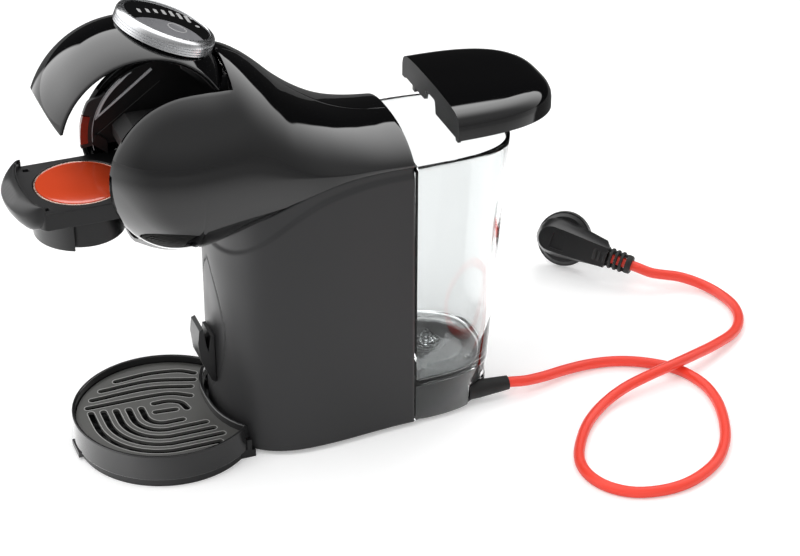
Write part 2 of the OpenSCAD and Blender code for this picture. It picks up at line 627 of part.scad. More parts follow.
module dial_ring() {
  inner = dial_r - 2;
  color("#b9babc") on_dial() rotate_extrude($fn = 144) polygon([[inner, -dial_h + 0.6], [inner, -2.2], [face_r + 0.4, -2.2],
    [face_r + 0.4, 0.1], [face_r + 1.2, 0.9], [dial_r - 0.9, -0.7], [dial_r, -2.2],
    [dial_r, -3.6], [dial_r - 0.5, -4.1], [dial_r, -4.6], [dial_r, -5.6], [dial_r - 0.5, -6.1], [dial_r, -6.6],
    [dial_r, -dial_h + 0.3], [dial_r - 0.8, -dial_h]]);
}

// ---- brewing jaw, drawn closed and lifted open ----
module open_jaw() {
  translate([0, 0, jaw_rise]) children();
}
jaw_low = deck_z + 4.4;
jaw_front = head_y - 32.5;
ear_z = deck_z + 6.4 + 4 + 2 * gap;
module jaw_block() {
  color("#131315") open_jaw() difference() {
    union() {
      translate([-jaw_half_w, 0, 0]) rotate([90, 0, 90]) linear_extrude(2 * jaw_half_w)
        polygon([[jaw_front, jaw_low + 2], [jaw_front + 2, jaw_low], [head_y + 14, jaw_low], [head_y + 18, jaw_low + 6],
          [head_y + 18, jaw_low + 15], [jaw_front + 8, jaw_low + 15], [jaw_front, jaw_low + 9]]);
      translate([-rod_x - 4.5, head_y + 17, ear_z]) cube([2 * rod_x + 9, rod_y + 5.5 - head_y - 17, jaw_low + 15 - ear_z]);
    }
    translate([0, outlet_y, jaw_low - 0.1]) cylinder(h = 3.5, r = 15, $fn = 64);
    translate([0, outlet_y, jaw_low]) cylinder(h = 20, r = 1.2, $fn = 24);
    for (s = [-1, 1]) translate([s * rod_x, rod_y, jaw_low]) cylinder(h = 30, r = rod_r + run_fit, $fn = 48);
  }
}
module jaw_seal() {
  color("#c9c4b8") open_jaw() translate([0, outlet_y, jaw_low + 0.4]) difference() {
    cylinder(h = 3, r = 14.9, $fn = 64);
    translate([0, 0, -1]) cylinder(h = 5, r = 9, $fn = 64);
  }
}
module needle() {
  color("#d0d2d4") open_jaw() translate([0, outlet_y, jaw_low - needle_l]) {
    cylinder(h = needle_l + 14, r = 1.2 - 0.02, $fn = 24);
    translate([0, 0, needle_l + 0.4]) cylinder(h = 3, r = 8.9, $fn = 48);
  }
}

// ---- capsule drawer ----
crest_y = capsule_y - 27.2;
module drawer_plan(d) {
  polygon(concat([[drawer_half_w - d, capsule_y + 31], [drawer_half_w - d, crest_y]],
    [for (a = [15:15:165]) [(drawer_half_w - d) * cos(a), crest_y - 8 * sin(a)]],
    [[-drawer_half_w + d, crest_y], [-drawer_half_w + d, capsule_y + 31]]));
}
module drawer_body() {
  color("#1f1f20") difference() {
    translate([0, 0, drawer_floor]) linear_extrude(drawer_h) drawer_plan(0);
    translate([0, capsule_y, drawer_floor - 1]) cylinder(h = 20, r = cup_r + 0.9, $fn = facets);
    translate([0, capsule_y, deck_z - 1.4]) cylinder(h = 3, r = capsule_r + 0.4, $fn = facets);
    for (s = [-1, 1]) translate([s * 25 - 1.6, capsule_y - 27.5, deck_z - 3]) cube([3.2, 3.2, 6]);
  }
}
module drawer_cup() {
  h = drawer_floor - 0.05 - cup_floor;
  color("#1b1b1c") translate([0, capsule_y, 0]) difference() {
    union() {
      translate([0, 0, cup_floor]) cylinder(h = h + 8, r = cup_r + 0.85, $fn = facets);
      translate([0, 0, cup_floor - 3]) cylinder(h = 3.1, r = 7, $fn = 48);
    }
    translate([0, 0, cup_floor + 2]) cylinder(h = 60, r = cup_r - 0.9, $fn = facets);
    translate([0, 0, cup_floor - 9]) cylinder(h = 20, r = 2.5, $fn = 32);
  }
}
// Finger grip in front of the crest line, with a skirt under it.
grip_l = 10.2;
grip_lift = 5;
grip_tip = 1.2;
// Front and back outline of the grip at height z: f holds its share of the width and of the length.
function grip_front(z, f) = let (w = drawer_half_w * f[0], a0 = acos(f[0]),
    y = crest_y - gap - 0.1 - 8 * sin(a0) - grip_tip, l = 8 * (1 - sin(a0)) + grip_l * f[1] - grip_tip)
  [for (a = [-180:12:0]) [w * cos(a), y + l * sin(a), z]];
function grip_back(z, f) = let (a0 = acos(f[0]))
  [for (k = [0:15]) let (a = mix(180 - a0, a0, k / 15))
    [drawer_half_w * cos(a), crest_y - gap - 0.1 - 8 * sin(a), z]];
module drawer_grip() {
  z0 = drawer_floor - 1;
  rows = [[z0, 0.84, 0.34], [z0 + 2, 0.93, 0.62], [z0 + 5, 0.99, 0.86], [z0 + 8, 1, 0.96], [z0 + 11, 1, 0.94],
    [z0 + 13.5, 1, 0.8], [z0 + 15.5, 1, 0.5], [deck_z + grip_lift, 1, 0.16]];
  color("#232324") sheet_solid([for (r = rows) grip_front(r[0], [r[1], r[2]])],
    [for (r = rows) grip_back(r[0], [r[1], r[2]])]);
}
// Curved guard hanging under the grip in front of the cup.
guard_drop = 0.5;
module grip_guard() {
  h = drawer_floor - gap - cup_floor + guard_drop;
  color("#202021") translate([0, capsule_y, cup_floor - guard_drop]) difference() {
    cylinder(h = h, r = 29, $fn = facets);
    translate([0, 0, -1]) cylinder(h = 60, r = 26.8, $fn = facets);
    translate([-60, -11, -1]) cube([120, 80, 60]);
  }
}
module capsule_cup() {
  color("#5c2a1e") translate([0, capsule_y, 0]) difference() {
    union() {
      translate([0, 0, deck_z - 1.2]) cylinder(h = 0.6, r = capsule_r, $fn = facets);
      translate([0, 0, deck_z - 1.4 - capsule_h + 0.6]) cylinder(h = capsule_h, r1 = cup_r - 4.6, r2 = cup_r - 1.3, $fn = facets);
    }
    translate([0, 0, deck_z - capsule_h]) cylinder(h = capsule_h + 2, r1 = cup_r - 5.4, r2 = cup_r - 2.1, $fn = facets);
  }
}
module capsule_foil() {
  color("#d9502c") translate([0, capsule_y, deck_z - 0.6]) cylinder(h = 0.4, r = capsule_r - 0.3, $fn = facets);
}

// ---- drip tray ----
bite_gap = 3.5;
module bite(d, z0, z1) {
  translate([0, 0, z0]) linear_extrude(z1 - z0) polygon(column_outline(bite_gap + d));
}
bowl_z0 = stand_h + 0.05;
module tray_bowl() {
  color("#19191b") difference() {
    translate([0, tray_y, bowl_z0]) cylinder(h = tray_z - bowl_z0, r = tray_r, $fn = 144);
    difference() {
      translate([0, tray_y, bowl_z0 + 1.8]) cylinder(h = 40, r = tray_r - 2, $fn = 144);
      bite(2, 0, 60);
    }
    bite(0, -1, 60);
  }
}
// The stand's rear tongue and its two latch blocks keep to the ring's horns.
tongue_w = 0.85 * (tray_r - 8.6);
latch_r = tray_r - 1.6;
module tray_stand() {
  color("#2b2b2d") difference() {
    union() {
      difference() {
        translate([0, tray_y, 0]) cylinder(h = stand_h, r = tray_r - 2.6, $fn = 144);
        translate([0, tray_y, -1]) cylinder(h = stand_h + 2, r = tray_r - 8.6, $fn = 144);
        bite(0, -1, 60);
      }
      translate([-8, tray_y - tray_r - 0.6, 2.2]) cube([16, 6, stand_h - 2.2]);
      difference() {
        translate([-tongue_w, -50, 0]) cube([2 * tongue_w, 20, stand_h - 1]);
        outline_block(gap, -1, 60);
      }
      for (s = [-1, 1]) translate([s * latch_r * cos(44.5) - 2, tray_y + latch_r * sin(44.5) - 3.75, 1]) cube([4, 7.5, 12]);
    }
    translate([0, 0, stand_h]) intersection() {
      translate([0, tray_y, 0]) cylinder(h = 60, r = tray_r + 0.3, $fn = 144);
      difference() {
        translate([-80, -160, 0]) cube([160, 200, 60]);
        bite(-gap, -1, 70);
      }
    }
  }
}
// Slots of the grid as 2D shapes, laid out from the pour point.
module slot_run(r) {
  pitch_r = r;
  difference() {
    intersection() {
      circle(r = pitch_r + slot_w / 2, $fn = 96);
      translate([0, -100]) square([100, 100]);
    }
    circle(r = pitch_r - slot_w / 2, $fn = 96);
  }
  translate([pitch_r - slot_w / 2, -0.1]) square([slot_w, 60]);
}
module grid_slots() {
  rib = 2.2;
  step = slot_w + rib + 0.5;
  intersection() {
    translate([rib / 2 - 3, 0]) for (k = [1:6]) slot_run(k * step + 2.4);
    translate([rib / 2, -60]) square([60, 120]);
  }
  for (k = [0:3]) translate([-rib - 5.2 - slot_w - k * step, -60]) square([slot_w, 104]);
  translate([-4, -3.2]) intersection() {
    translate([-0.4, -slot_w]) square([10, 20]);
    hull_free_stadium();
  }
}
module hull_free_stadium() {
  translate([3.2, 0]) circle(r = 3.2, $fn = 48);
  translate([0, 0]) square([6.4, 13]);
  translate([3.2, 13]) circle(r = 3.2, $fn = 48);
}
module tray_grid() {
  r = tray_r - 2.5;
  color("#6b6b6e") difference() {
    translate([0, tray_y, grid_z - grid_t]) cylinder(h = grid_t, r = r, $fn = 144);
    bite(2.6, -1, 60);
    difference() {
      translate([0, tray_y, 0]) linear_extrude(60) intersection() {
        grid_slots();
        circle(r = r - 4, $fn = 96);
      }
      bite(7, -1, 60);
    }
  }
  color("#6b6b6e") for (a = [200, 270, 340]) translate([(r - 5) * cos(a), tray_y + (r - 5) * sin(a), bowl_z0 + 1.9])
    cylinder(h = grid_z - grid_t - bowl_z0 - 1.85, r = 1.8, $fn = 24);
}

// ---- water tank ----
module tank_shell() {
  front = seam_y + gap;
  inner_z = seat_z + tank_t;
  outer = [for (z = [seat_z, mix(seat_z, tank_z, 0.5), tank_z]) lift(tail_outline(z, 0, front), z)];
  inner = [for (z = [tank_z, mix(seat_z, tank_z, 0.5), inner_z]) lift(tail_outline(z, tank_t, front + tank_t), z)];
  color([0.9, 0.93, 0.95, 0.35]) difference() {
    union() {
      ring_solid([for (r = concat(outer, inner)) r]);
      translate([0, valve_y, inner_z - 0.4]) cylinder(h = 8, r = 8, $fn = 48);
      translate([0, valve_y, seat_z - 5.3]) cylinder(h = 5.6, r = 6.6 - run_fit, $fn = 64);
    }
    translate([0, valve_y, seat_z - 6]) cylinder(h = 10, r = 3.4, $fn = 48);
    translate([0, valve_y, inner_z]) cylinder(h = 5.8, r = valve_r + run_fit, $fn = 48);
    translate([0, valve_y, inner_z]) cylinder(h = 20, r = 1.5 + run_fit, $fn = 32);
    translate([-20, valve_y - 1.5, inner_z + 1.6]) cube([40, 3, 3.6]);
  }
}
valve_r = 4.9;
module tank_valve() {
  color("#d5dade") translate([0, valve_y, seat_z + tank_t]) {
    translate([0, 0, 0.2]) cylinder(h = 1.8, r = valve_r, $fn = 48);
    translate([0, 0, 1.9]) cylinder(h = 7.6, r = 1.5, $fn = 32);
  }
}
module valve_spring() {
  color("#c7cacd") translate([0, valve_y, seat_z + tank_t + 2.1]) difference() {
    cylinder(h = 3.6, r = 4.2, $fn = 48);
    translate([0, 0, -1]) cylinder(h = 10, r = 3.2, $fn = 48);
  }
}

// ---- tank lid, drawn closed and carried off ----
module lid_off() {
  translate([0, lid_back, lid_up]) children();
}
function lid_ring(s, z, d) = [for (p = tail_outline(tank_z, -1, seam_y + gap)) let (mid = seam_y + gap + 28, f = seam_y + gap + d)
  [s * p[0], max(f, mix(mid, p[1], s)), z]];
lid_rows = [[1, 0], [1, 5], [0.985, 8], [0.94, 11], [0.86, 13.6], [0.72, 15.6], [0.5, 17.2], [0.2, 18]];
module lid_shell() {
  z0 = tank_z + gap;
  n = len(lid_rows) - 1;
  f = lid_h / 18;
  t = wall / 46;
  color("#141416") lid_off() ring_solid(concat(
    [for (k = [0:n]) let (r = lid_rows[n - k]) lid_ring(r[0], z0 + f * r[1], 0)],
    [for (r = lid_rows) lid_ring(max(0.1, r[0] - t), z0 + f * r[1] - (r[1] > 0 ? 2.2 : 0), wall)]));
}
module lid_liner() {
  color("#202022") lid_off() {
    for (s = [-1, 1]) translate([s * 36 - 2, seam_y + tank_t + 1.2, tank_z - 6]) cube([4, 2.2, 6.25]);
    translate([-20, seam_y + tank_l - 14, tank_z - 2.5]) cube([40, 2, 2.75]);
  }
}

// ---- mains lead ----
gland_r = 6;
cord_exit = [33, 121, 9];
cord_start = cord_exit + [0, 2, 0];
cord_route = [[34, 154, 8.2], [31.5, 168, 6.6], [27, 186, 5], [25, 203, 4], [27, 220, 3.6], [34, 236, 3.6], [46, 251, 3.6],
  [59, 259, 3.6], [76, 263, 3.6], [97, 261, 3.6], [121, 253, 3.6], [139, 243, 3.6], [154, 229, 3.6], [165, 209, 3.6],
  [168, 190, 3.6], [164, 171, 3.6], [153, 158, 3.6], [138, 152, 3.6], [122, 153, 3.6], [105, 161, 3.6], [86, 175, 3.8],
  [72, 192, 5], [64, 210, 7.8], [60, 229, 10.6], [56, 247, 11.8], [49, 266, 10.8], [38, 288, 7.8], [25, 308, 4.8],
  [10, 320, 3.6], [-7, 325, 3.6], [-24, 323, 3.8], [-38, 316, 5.2], [-48, 304, 8]];
function spline(p0, p1, p2, p3, t) = 0.5 * ((2 * p1) + (p2 - p0) * t + (2 * p0 - 5 * p1 + 4 * p2 - p3) * t * t
  + (3 * p1 - p0 - 3 * p2 + p3) * t * t * t);
function fine_path(r, m) = let (e = len(r) - 1) concat(
  [for (k = [0:e - 1], q = [0:m - 1]) spline(r[max(k - 1, 0)], r[k], r[k + 1], r[min(k + 2, e)], q / m)], [r[e]]);
module power_cord() {
  color("#e0392e") sweep(fine_path(cord_path, 2), cord_d / 2, 10);
}
module cord_grommet() {
  color("#151515") translate(cord_exit) rotate([-90, 0, 0]) difference() {
    union() {
      translate([0, 0, -7]) cylinder(h = 8, r = gland_r - run_fit, $fn = 48);
      translate([0, 0, 0.95]) cylinder(h = 20, r1 = gland_r - run_fit, r2 = cord_d / 2 + 1.1, $fn = 48);
    }
    translate([0, 0, -9]) cylinder(h = 40, r = cord_d / 2 + 0.2, $fn = 48);
  }
}
// Plug: a round base standing on its edge and pins, an angled body, and a ribbed strain relief.
plug_at = [-104, 242, 20.4];
plug_az = 50;
plug_lean = -20;
plug_dip = 10;
function turn_x(p, a) = [p[0], p[1] * cos(a) - p[2] * sin(a), p[1] * sin(a) + p[2] * cos(a)];
function turn_y(p, a) = [p[0] * cos(a) + p[2] * sin(a), p[1], -p[0] * sin(a) + p[2] * cos(a)];
function turn_z(p, a) = [p[0] * cos(a) - p[1] * sin(a), p[0] * sin(a) + p[1] * cos(a), p[2]];
function plug_point(x) = plug_at + turn_z(turn_x(turn_y([x, -6.5, 0], plug_dip), plug_lean), plug_az);
cord_path = concat([cord_start, cord_start + [0, 10, 0], cord_start + [0, 20, 0]], cord_route,
  [plug_point(68), plug_point(56), plug_point(44), plug_point(36)]);
module at_plug() {
  translate(plug_at) rotate([0, 0, plug_az]) rotate([plug_lean, 0, 0]) rotate([0, plug_dip, 0]) children();
}
function plug_row(y, w, c, end, e) = concat([for (a = [90:15:270]) [c + w * cos(a), y, w * sin(a)]],
  [[0, y, -w], [end, y, -e], [end, y, e], [0, y, w]]);
module plug_body() {
  color("#2b2b2d") at_plug() difference() {
    union() {
      rotate([-90, 0, 0]) cylinder(h = 5, r = 19, $fn = 96);
      translate([0, -1.6, 0]) rotate([-90, 0, 0]) cylinder(h = 1.7, r1 = 16, r2 = 18.2, $fn = 96);
      ring_solid([for (r = [[0.2, 14, -4.6, 30, 9.4], [-8, 11.2, -6.6, 34, 7.8], [-12.6, 8.6, -6.8, 34, 7]])
        plug_row(r[0], r[1], r[2], r[3], r[4])]);
    }
    translate([-6, -14, -6]) cube([10, 2.6, 11]);
    translate([24, -6.5, 0]) rotate([0, 90, 0]) cylinder(h = 20, r = 4.2, $fn = 48);
    for (s = [-1, 1]) translate([0, -3, s * 9.5]) rotate([-90, 0, 0]) cylinder(h = 12, r = 2.4, $fn = 32);
  }
}
module plug_pins() {
  color("#c9ccd0") at_plug() for (s = [-1, 1]) translate([0, -2.9, s * 9.5]) rotate([-90, 0, 0]) cylinder(h = 26.9, r = 2.38, $fn = 32);
}
module plug_relief() {
  color("#19191b") at_plug() translate([25, -6.5, 0]) rotate([0, 90, 0]) difference() {
    union() {
      cylinder(h = 26, r = 4.15, $fn = 48);
      for (k = [0:4]) translate([0, 0, 9.4 + 3 * k]) cylinder(h = 1.5, r = 7.2 - 0.12 * k, $fn = 48);
      translate([0, 0, 23.6]) cylinder(h = 3.4, r = 6.6, $fn = 48);
    }
    translate([0, 0, -1]) cylinder(h = 40, r = cord_d / 2 + 0.05, $fn = 48);
  }
}

base_plate();
rubber_feet();
column_shell();
front_panel();
tray_hook();
cowl_left();
cowl_right();
chin_grille();
frame_cheeks();
silver_inlay();
indicator_window();
drawer_rails();
drawer_guide();
lever_pin();
jaw_rods();
rear_wall();
tank_coupler();
coupler_seal();
tank_seat();
chassis_frame();
water_pump();
pump_mounts();
heater_block();
flow_meter();
water_hoses();
control_board();
lever_switch();
case_screws();
cord_grommet();
lever_shell();
lever_liner();
lever_arms();
dial_base();
dial_face();
dial_ring();
start_button();
jaw_block();
jaw_seal();
needle();
drawer_body();
drawer_cup();
drawer_grip();
grip_guard();
capsule_cup();
capsule_foil();
tray_bowl();
tray_stand();
tray_grid();
tank_shell();
tank_valve();
valve_spring();
lid_shell();
lid_liner();
power_cord();
plug_body();
plug_pins();
plug_relief();
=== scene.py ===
"""Pod coffee machine: camera, lead, finishes and detailed pieces round the fixed model."""

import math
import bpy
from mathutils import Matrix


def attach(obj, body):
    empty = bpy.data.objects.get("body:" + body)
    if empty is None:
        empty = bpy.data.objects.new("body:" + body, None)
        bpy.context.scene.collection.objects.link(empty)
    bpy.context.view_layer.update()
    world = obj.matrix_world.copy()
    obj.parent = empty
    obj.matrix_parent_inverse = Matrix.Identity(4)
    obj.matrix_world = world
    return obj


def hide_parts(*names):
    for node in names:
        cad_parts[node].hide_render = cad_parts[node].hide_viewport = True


bl_info = {
    "name": "Pod Coffee Machine",
    "version": (1, 0, 0),
    "blender": (4, 5, 0),
    "location": "View3D > Sidebar > Coffee Machine",
    "description": "Builds the shown pieces, finishes, light and camera of a pod coffee machine",
    "category": "Add Mesh",
}

import bmesh
import bpy
import numpy as np
from bpy.props import FloatProperty, FloatVectorProperty, IntProperty, PointerProperty
from bpy.types import Operator, Panel, PropertyGroup
from mathutils import Matrix, Vector

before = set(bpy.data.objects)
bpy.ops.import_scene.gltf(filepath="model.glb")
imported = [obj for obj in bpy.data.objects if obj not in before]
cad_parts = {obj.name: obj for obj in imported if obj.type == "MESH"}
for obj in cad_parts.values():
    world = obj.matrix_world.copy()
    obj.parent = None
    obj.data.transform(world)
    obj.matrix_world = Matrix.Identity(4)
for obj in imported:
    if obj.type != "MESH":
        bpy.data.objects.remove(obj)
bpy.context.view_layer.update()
MM = 0.001


# ---- values ----


def linear(code):
    """An sRGB hex colour as the linear numbers that the shaders take."""
    parts = [int(code[i : i + 2], 16) / 255 for i in (1, 3, 5)]
    return tuple(c / 12.92 if c <= 0.04045 else ((c + 0.055) / 1.055) ** 2.4 for c in parts)


def size(name, text, default):
    """A length property, given in millimetres."""
    return FloatProperty(name=name, description=text, default=default * MM, unit="LENGTH", precision=4)


def angle(name, text, default):
    """An angle property, given in degrees."""
    return FloatProperty(name=name, description=text, default=math.radians(default), subtype="ANGLE")


def colour(name, text, code):
    """A colour property, given as an sRGB hex code."""
    kind = {"subtype": "COLOR", "size": 3, "min": 0, "max": 1}
    return FloatVectorProperty(name=name, description=text, default=linear(code), **kind)


class CameraSizes(PropertyGroup):
    azimuth: angle("Azimuth", "Turn of the view from the front", 69.26)
    elevation: angle("Elevation", "Height of the view above the floor", 30.99)
    distance: size("Distance", "From the lens to the point looked at", 1349.8)
    target_x: size("Target X", "Point looked at", 179.38)
    target_y: size("Target Y", "Point looked at", 13)
    target_z: size("Target Z", "Point looked at", 196.62)
    lens: FloatProperty(name="Lens", description="Focal length", default=112.6, unit="CAMERA", min=10)


class CoverSizes(PropertyGroup):
    wall: size("Wall", "Thickness of the cover", 2.4)
    seam: size("Seam", "Half of the gap between the two halves", 0.1)
    band: size("Band", "Depth of the neck band under the hem", 1.3)
    groove: size("Groove", "Depth of the groove round the front panel", 0.7)


class LeverSizes(PropertyGroup):
    half_width: size("Half width", "From the middle to the shell's side", 31.5)
    shell: size("Shell", "Thickness of the outer shell", 2.6)
    liner: size("Liner", "Thickness of the dark liner", 2.0)


class DialSizes(PropertyGroup):
    teeth: IntProperty(name="Teeth", description="Fine teeth round the ring", default=240, min=60, max=400)
    tooth: size("Tooth", "Depth of the fine teeth", 0.05)


class TraySizes(PropertyGroup):
    slot: size("Slot", "Width of the slots in the grid", 3.9)


class TankSizes(PropertyGroup):
    wall: size("Wall", "Thickness of the tank and of its lid", 2.2)
    skirt: size("Skirt", "Thickness of the clear skirt over the seat", 1.7)


class CordSizes(PropertyGroup):
    diameter: size("Diameter", "Thickness of the mains lead", 7.0)


class Finishes(PropertyGroup):
    gloss: colour("Gloss black", "Polished covers", "#050506")
    satin: colour("Satin black", "Column and its fixed mouldings", "#272728")
    matte: colour("Matte black", "Inner walls", "#141415")
    grey: colour("Dark grey", "Grid and small parts", "#464644")
    rubber: colour("Rubber", "Feet, seals and strain relief", "#101010")
    ring: colour("Ring", "Brushed dial ring", "#E2E3E5")
    # Silver of the inlay, also used as painted highlight along the side walls' front edges.
    silver: colour("Silver trim", "Bright inlay in the head", "#B9BABD")
    window: colour("Window", "Smoked red window", "#7A2A22")
    tank: colour("Tank", "Clear water tank", "#EEF0F0")
    steel: colour("Steel", "Pins, needle and screws", "#B4B4B2")
    cast: colour("Cast metal", "Heater block", "#8E8F90")
    hose: colour("Hose", "Silicone hoses", "#D9D6CC")
    board: colour("Board", "Circuit board", "#1F5A32")
    foil: colour("Foil", "Lid of the capsule", "#D84A26")
    capsule: colour("Capsule", "Moulded capsule cup", "#4A2A1C")
    bowl: colour("Bowl", "Gloss moulding of the tray's bowl", "#161617")
    drawer: colour("Drawer", "Drawer, grip, chin and plug mouldings", "#121213")
    # Pale grey of the painted highlight round the grid's slots.
    bead: colour("Bead", "Polished edges of the grid's slots", "#A4A4A2")
    marks: colour("Marks", "Printed marks of the dial", "#A9A9A9")
    # Grey of the dial's field, a painted reflection of the softbox; the button cap and seat rings take it as their
    # lacquer.
    field: colour("Field", "Grey field of the dial", "#77777A")
    rim: colour("Rim", "Bare edge of the foil", "#E3C6B8")
    cord: colour("Cord", "Sleeve of the mains lead", "#E8402F")
    seal: colour("Seal", "Silicone seals", "#6E6E6C")
    valve: colour("Valve", "Tank valve", "#D8D8D4")
    floor: colour("Floor", "Studio floor", "#F4F4F4")


def settings():
    """The scene's values for this machine."""
    return bpy.context.scene.pod_machine


# ---- material building ----


def add(tree, kind, links=None, **values):
    """Adds one node with its settings; links gives each input a socket or a plain value."""
    made = tree.nodes.new(kind)
    for key, value in values.items():
        setattr(made, key, value)
    for key, value in (links or {}).items():
        if isinstance(value, bpy.types.NodeSocket):
            tree.links.new(value, made.inputs[key])
        else:
            made.inputs[key].default_value = value
    return made


def rgba(value):
    """A colour with full alpha."""
    return (*value, 1.0)


def grain(tree, mm, detail=3.0, rough=0.5):
    """Noise whose features are about mm millimetres apart, in the object's own space."""
    place = add(tree, "ShaderNodeTexCoord").outputs["Object"]
    links = {"Vector": place, "Scale": 1 / (mm * MM), "Detail": detail, "Roughness": rough}
    return add(tree, "ShaderNodeTexNoise", links)


def spread(tree, source, low, high):
    """Maps a 0 to 1 pattern to a range."""
    links = {"Value": source, "From Min": 0.3, "From Max": 0.7, "To Min": low, "To Max": high}
    return add(tree, "ShaderNodeMapRange", links).outputs["Result"]


def tint(tree, source, base, share):
    """The base colour, a little darker and lighter with a pattern."""
    low = rgba([c * (1 - share) for c in base])
    high = rgba([min(1, c * (1 + share)) for c in base])
    mix = add(tree, "ShaderNodeMix", {0: source, 6: low, 7: high}, data_type="RGBA")
    return mix.outputs[2]


def raised(tree, height, mm):
    """Bump of a pattern whose full height is mm millimetres."""
    links = {"Height": height, "Distance": mm * MM, "Strength": 1.0}
    return add(tree, "ShaderNodeBump", links).outputs["Normal"]


def new_material(name):
    """An empty material with its shader and output, ready for nodes."""
    made = bpy.data.materials.new(name)
    made.use_nodes = True
    made.node_tree.nodes.clear()
    shader = add(made.node_tree, "ShaderNodeBsdfPrincipled")
    add(made.node_tree, "ShaderNodeOutputMaterial", {"Surface": shader.outputs[0]})
    return made, made.node_tree, shader


PLASTIC_IOR = 1.52
COAT_ROUGHNESS = 0.03


def plastic(name, base, rough, swing, texture_mm, height_mm, cloud_mm=40, coat=0.0, share=0.12):
    """Moulded plastic: tool texture as bump, roughness that drifts, and a faint drift of colour."""
    made, tree, shader = new_material(name)
    cloud = grain(tree, cloud_mm, 2).outputs["Fac"]
    fine = grain(tree, texture_mm, 2).outputs["Fac"]
    tree.links.new(tint(tree, cloud, base, share), shader.inputs["Base Color"])
    tree.links.new(spread(tree, cloud, rough - swing, rough + swing), shader.inputs["Roughness"])
    tree.links.new(raised(tree, fine, height_mm), shader.inputs["Normal"])
    shader.inputs["IOR"].default_value = PLASTIC_IOR
    if coat:
        shader.inputs["Coat Weight"].default_value = coat
        shader.inputs["Coat Roughness"].default_value = COAT_ROUGHNESS
    return made


def metal(name, base, rough, swing, lines_mm, height_mm, stretch=(1, 1, 1)):
    """Metal whose working marks are noise drawn out along one way."""
    made, tree, shader = new_material(name)
    place = add(tree, "ShaderNodeTexCoord")
    drawn = add(tree, "ShaderNodeMapping", {"Vector": place.outputs["Object"], "Scale": stretch})
    links = {"Vector": drawn.outputs[0], "Scale": 1 / (lines_mm * MM), "Detail": 3.0}
    marks = add(tree, "ShaderNodeTexNoise", links).outputs["Fac"]
    tree.links.new(tint(tree, marks, base, 0.03), shader.inputs["Base Color"])
    tree.links.new(spread(tree, marks, rough - swing, rough + swing), shader.inputs["Roughness"])
    tree.links.new(raised(tree, marks, height_mm), shader.inputs["Normal"])
    shader.inputs["Metallic"].default_value = 1.0
    return made


def clear_plastic(name, base, rough, ior, ripple_mm):
    """Clear moulded plastic with the slow ripple that a moulded wall shows."""
    made, tree, shader = new_material(name)
    ripple = grain(tree, ripple_mm, 1).outputs["Fac"]
    tree.links.new(raised(tree, ripple, 0.05), shader.inputs["Normal"])
    tree.links.new(spread(tree, ripple, rough, rough + 0.02), shader.inputs["Roughness"])
    shader.inputs["Base Color"].default_value = rgba(base)
    shader.inputs["Transmission Weight"].default_value = 1.0
    shader.inputs["IOR"].default_value = ior
    return made


finishes = {}


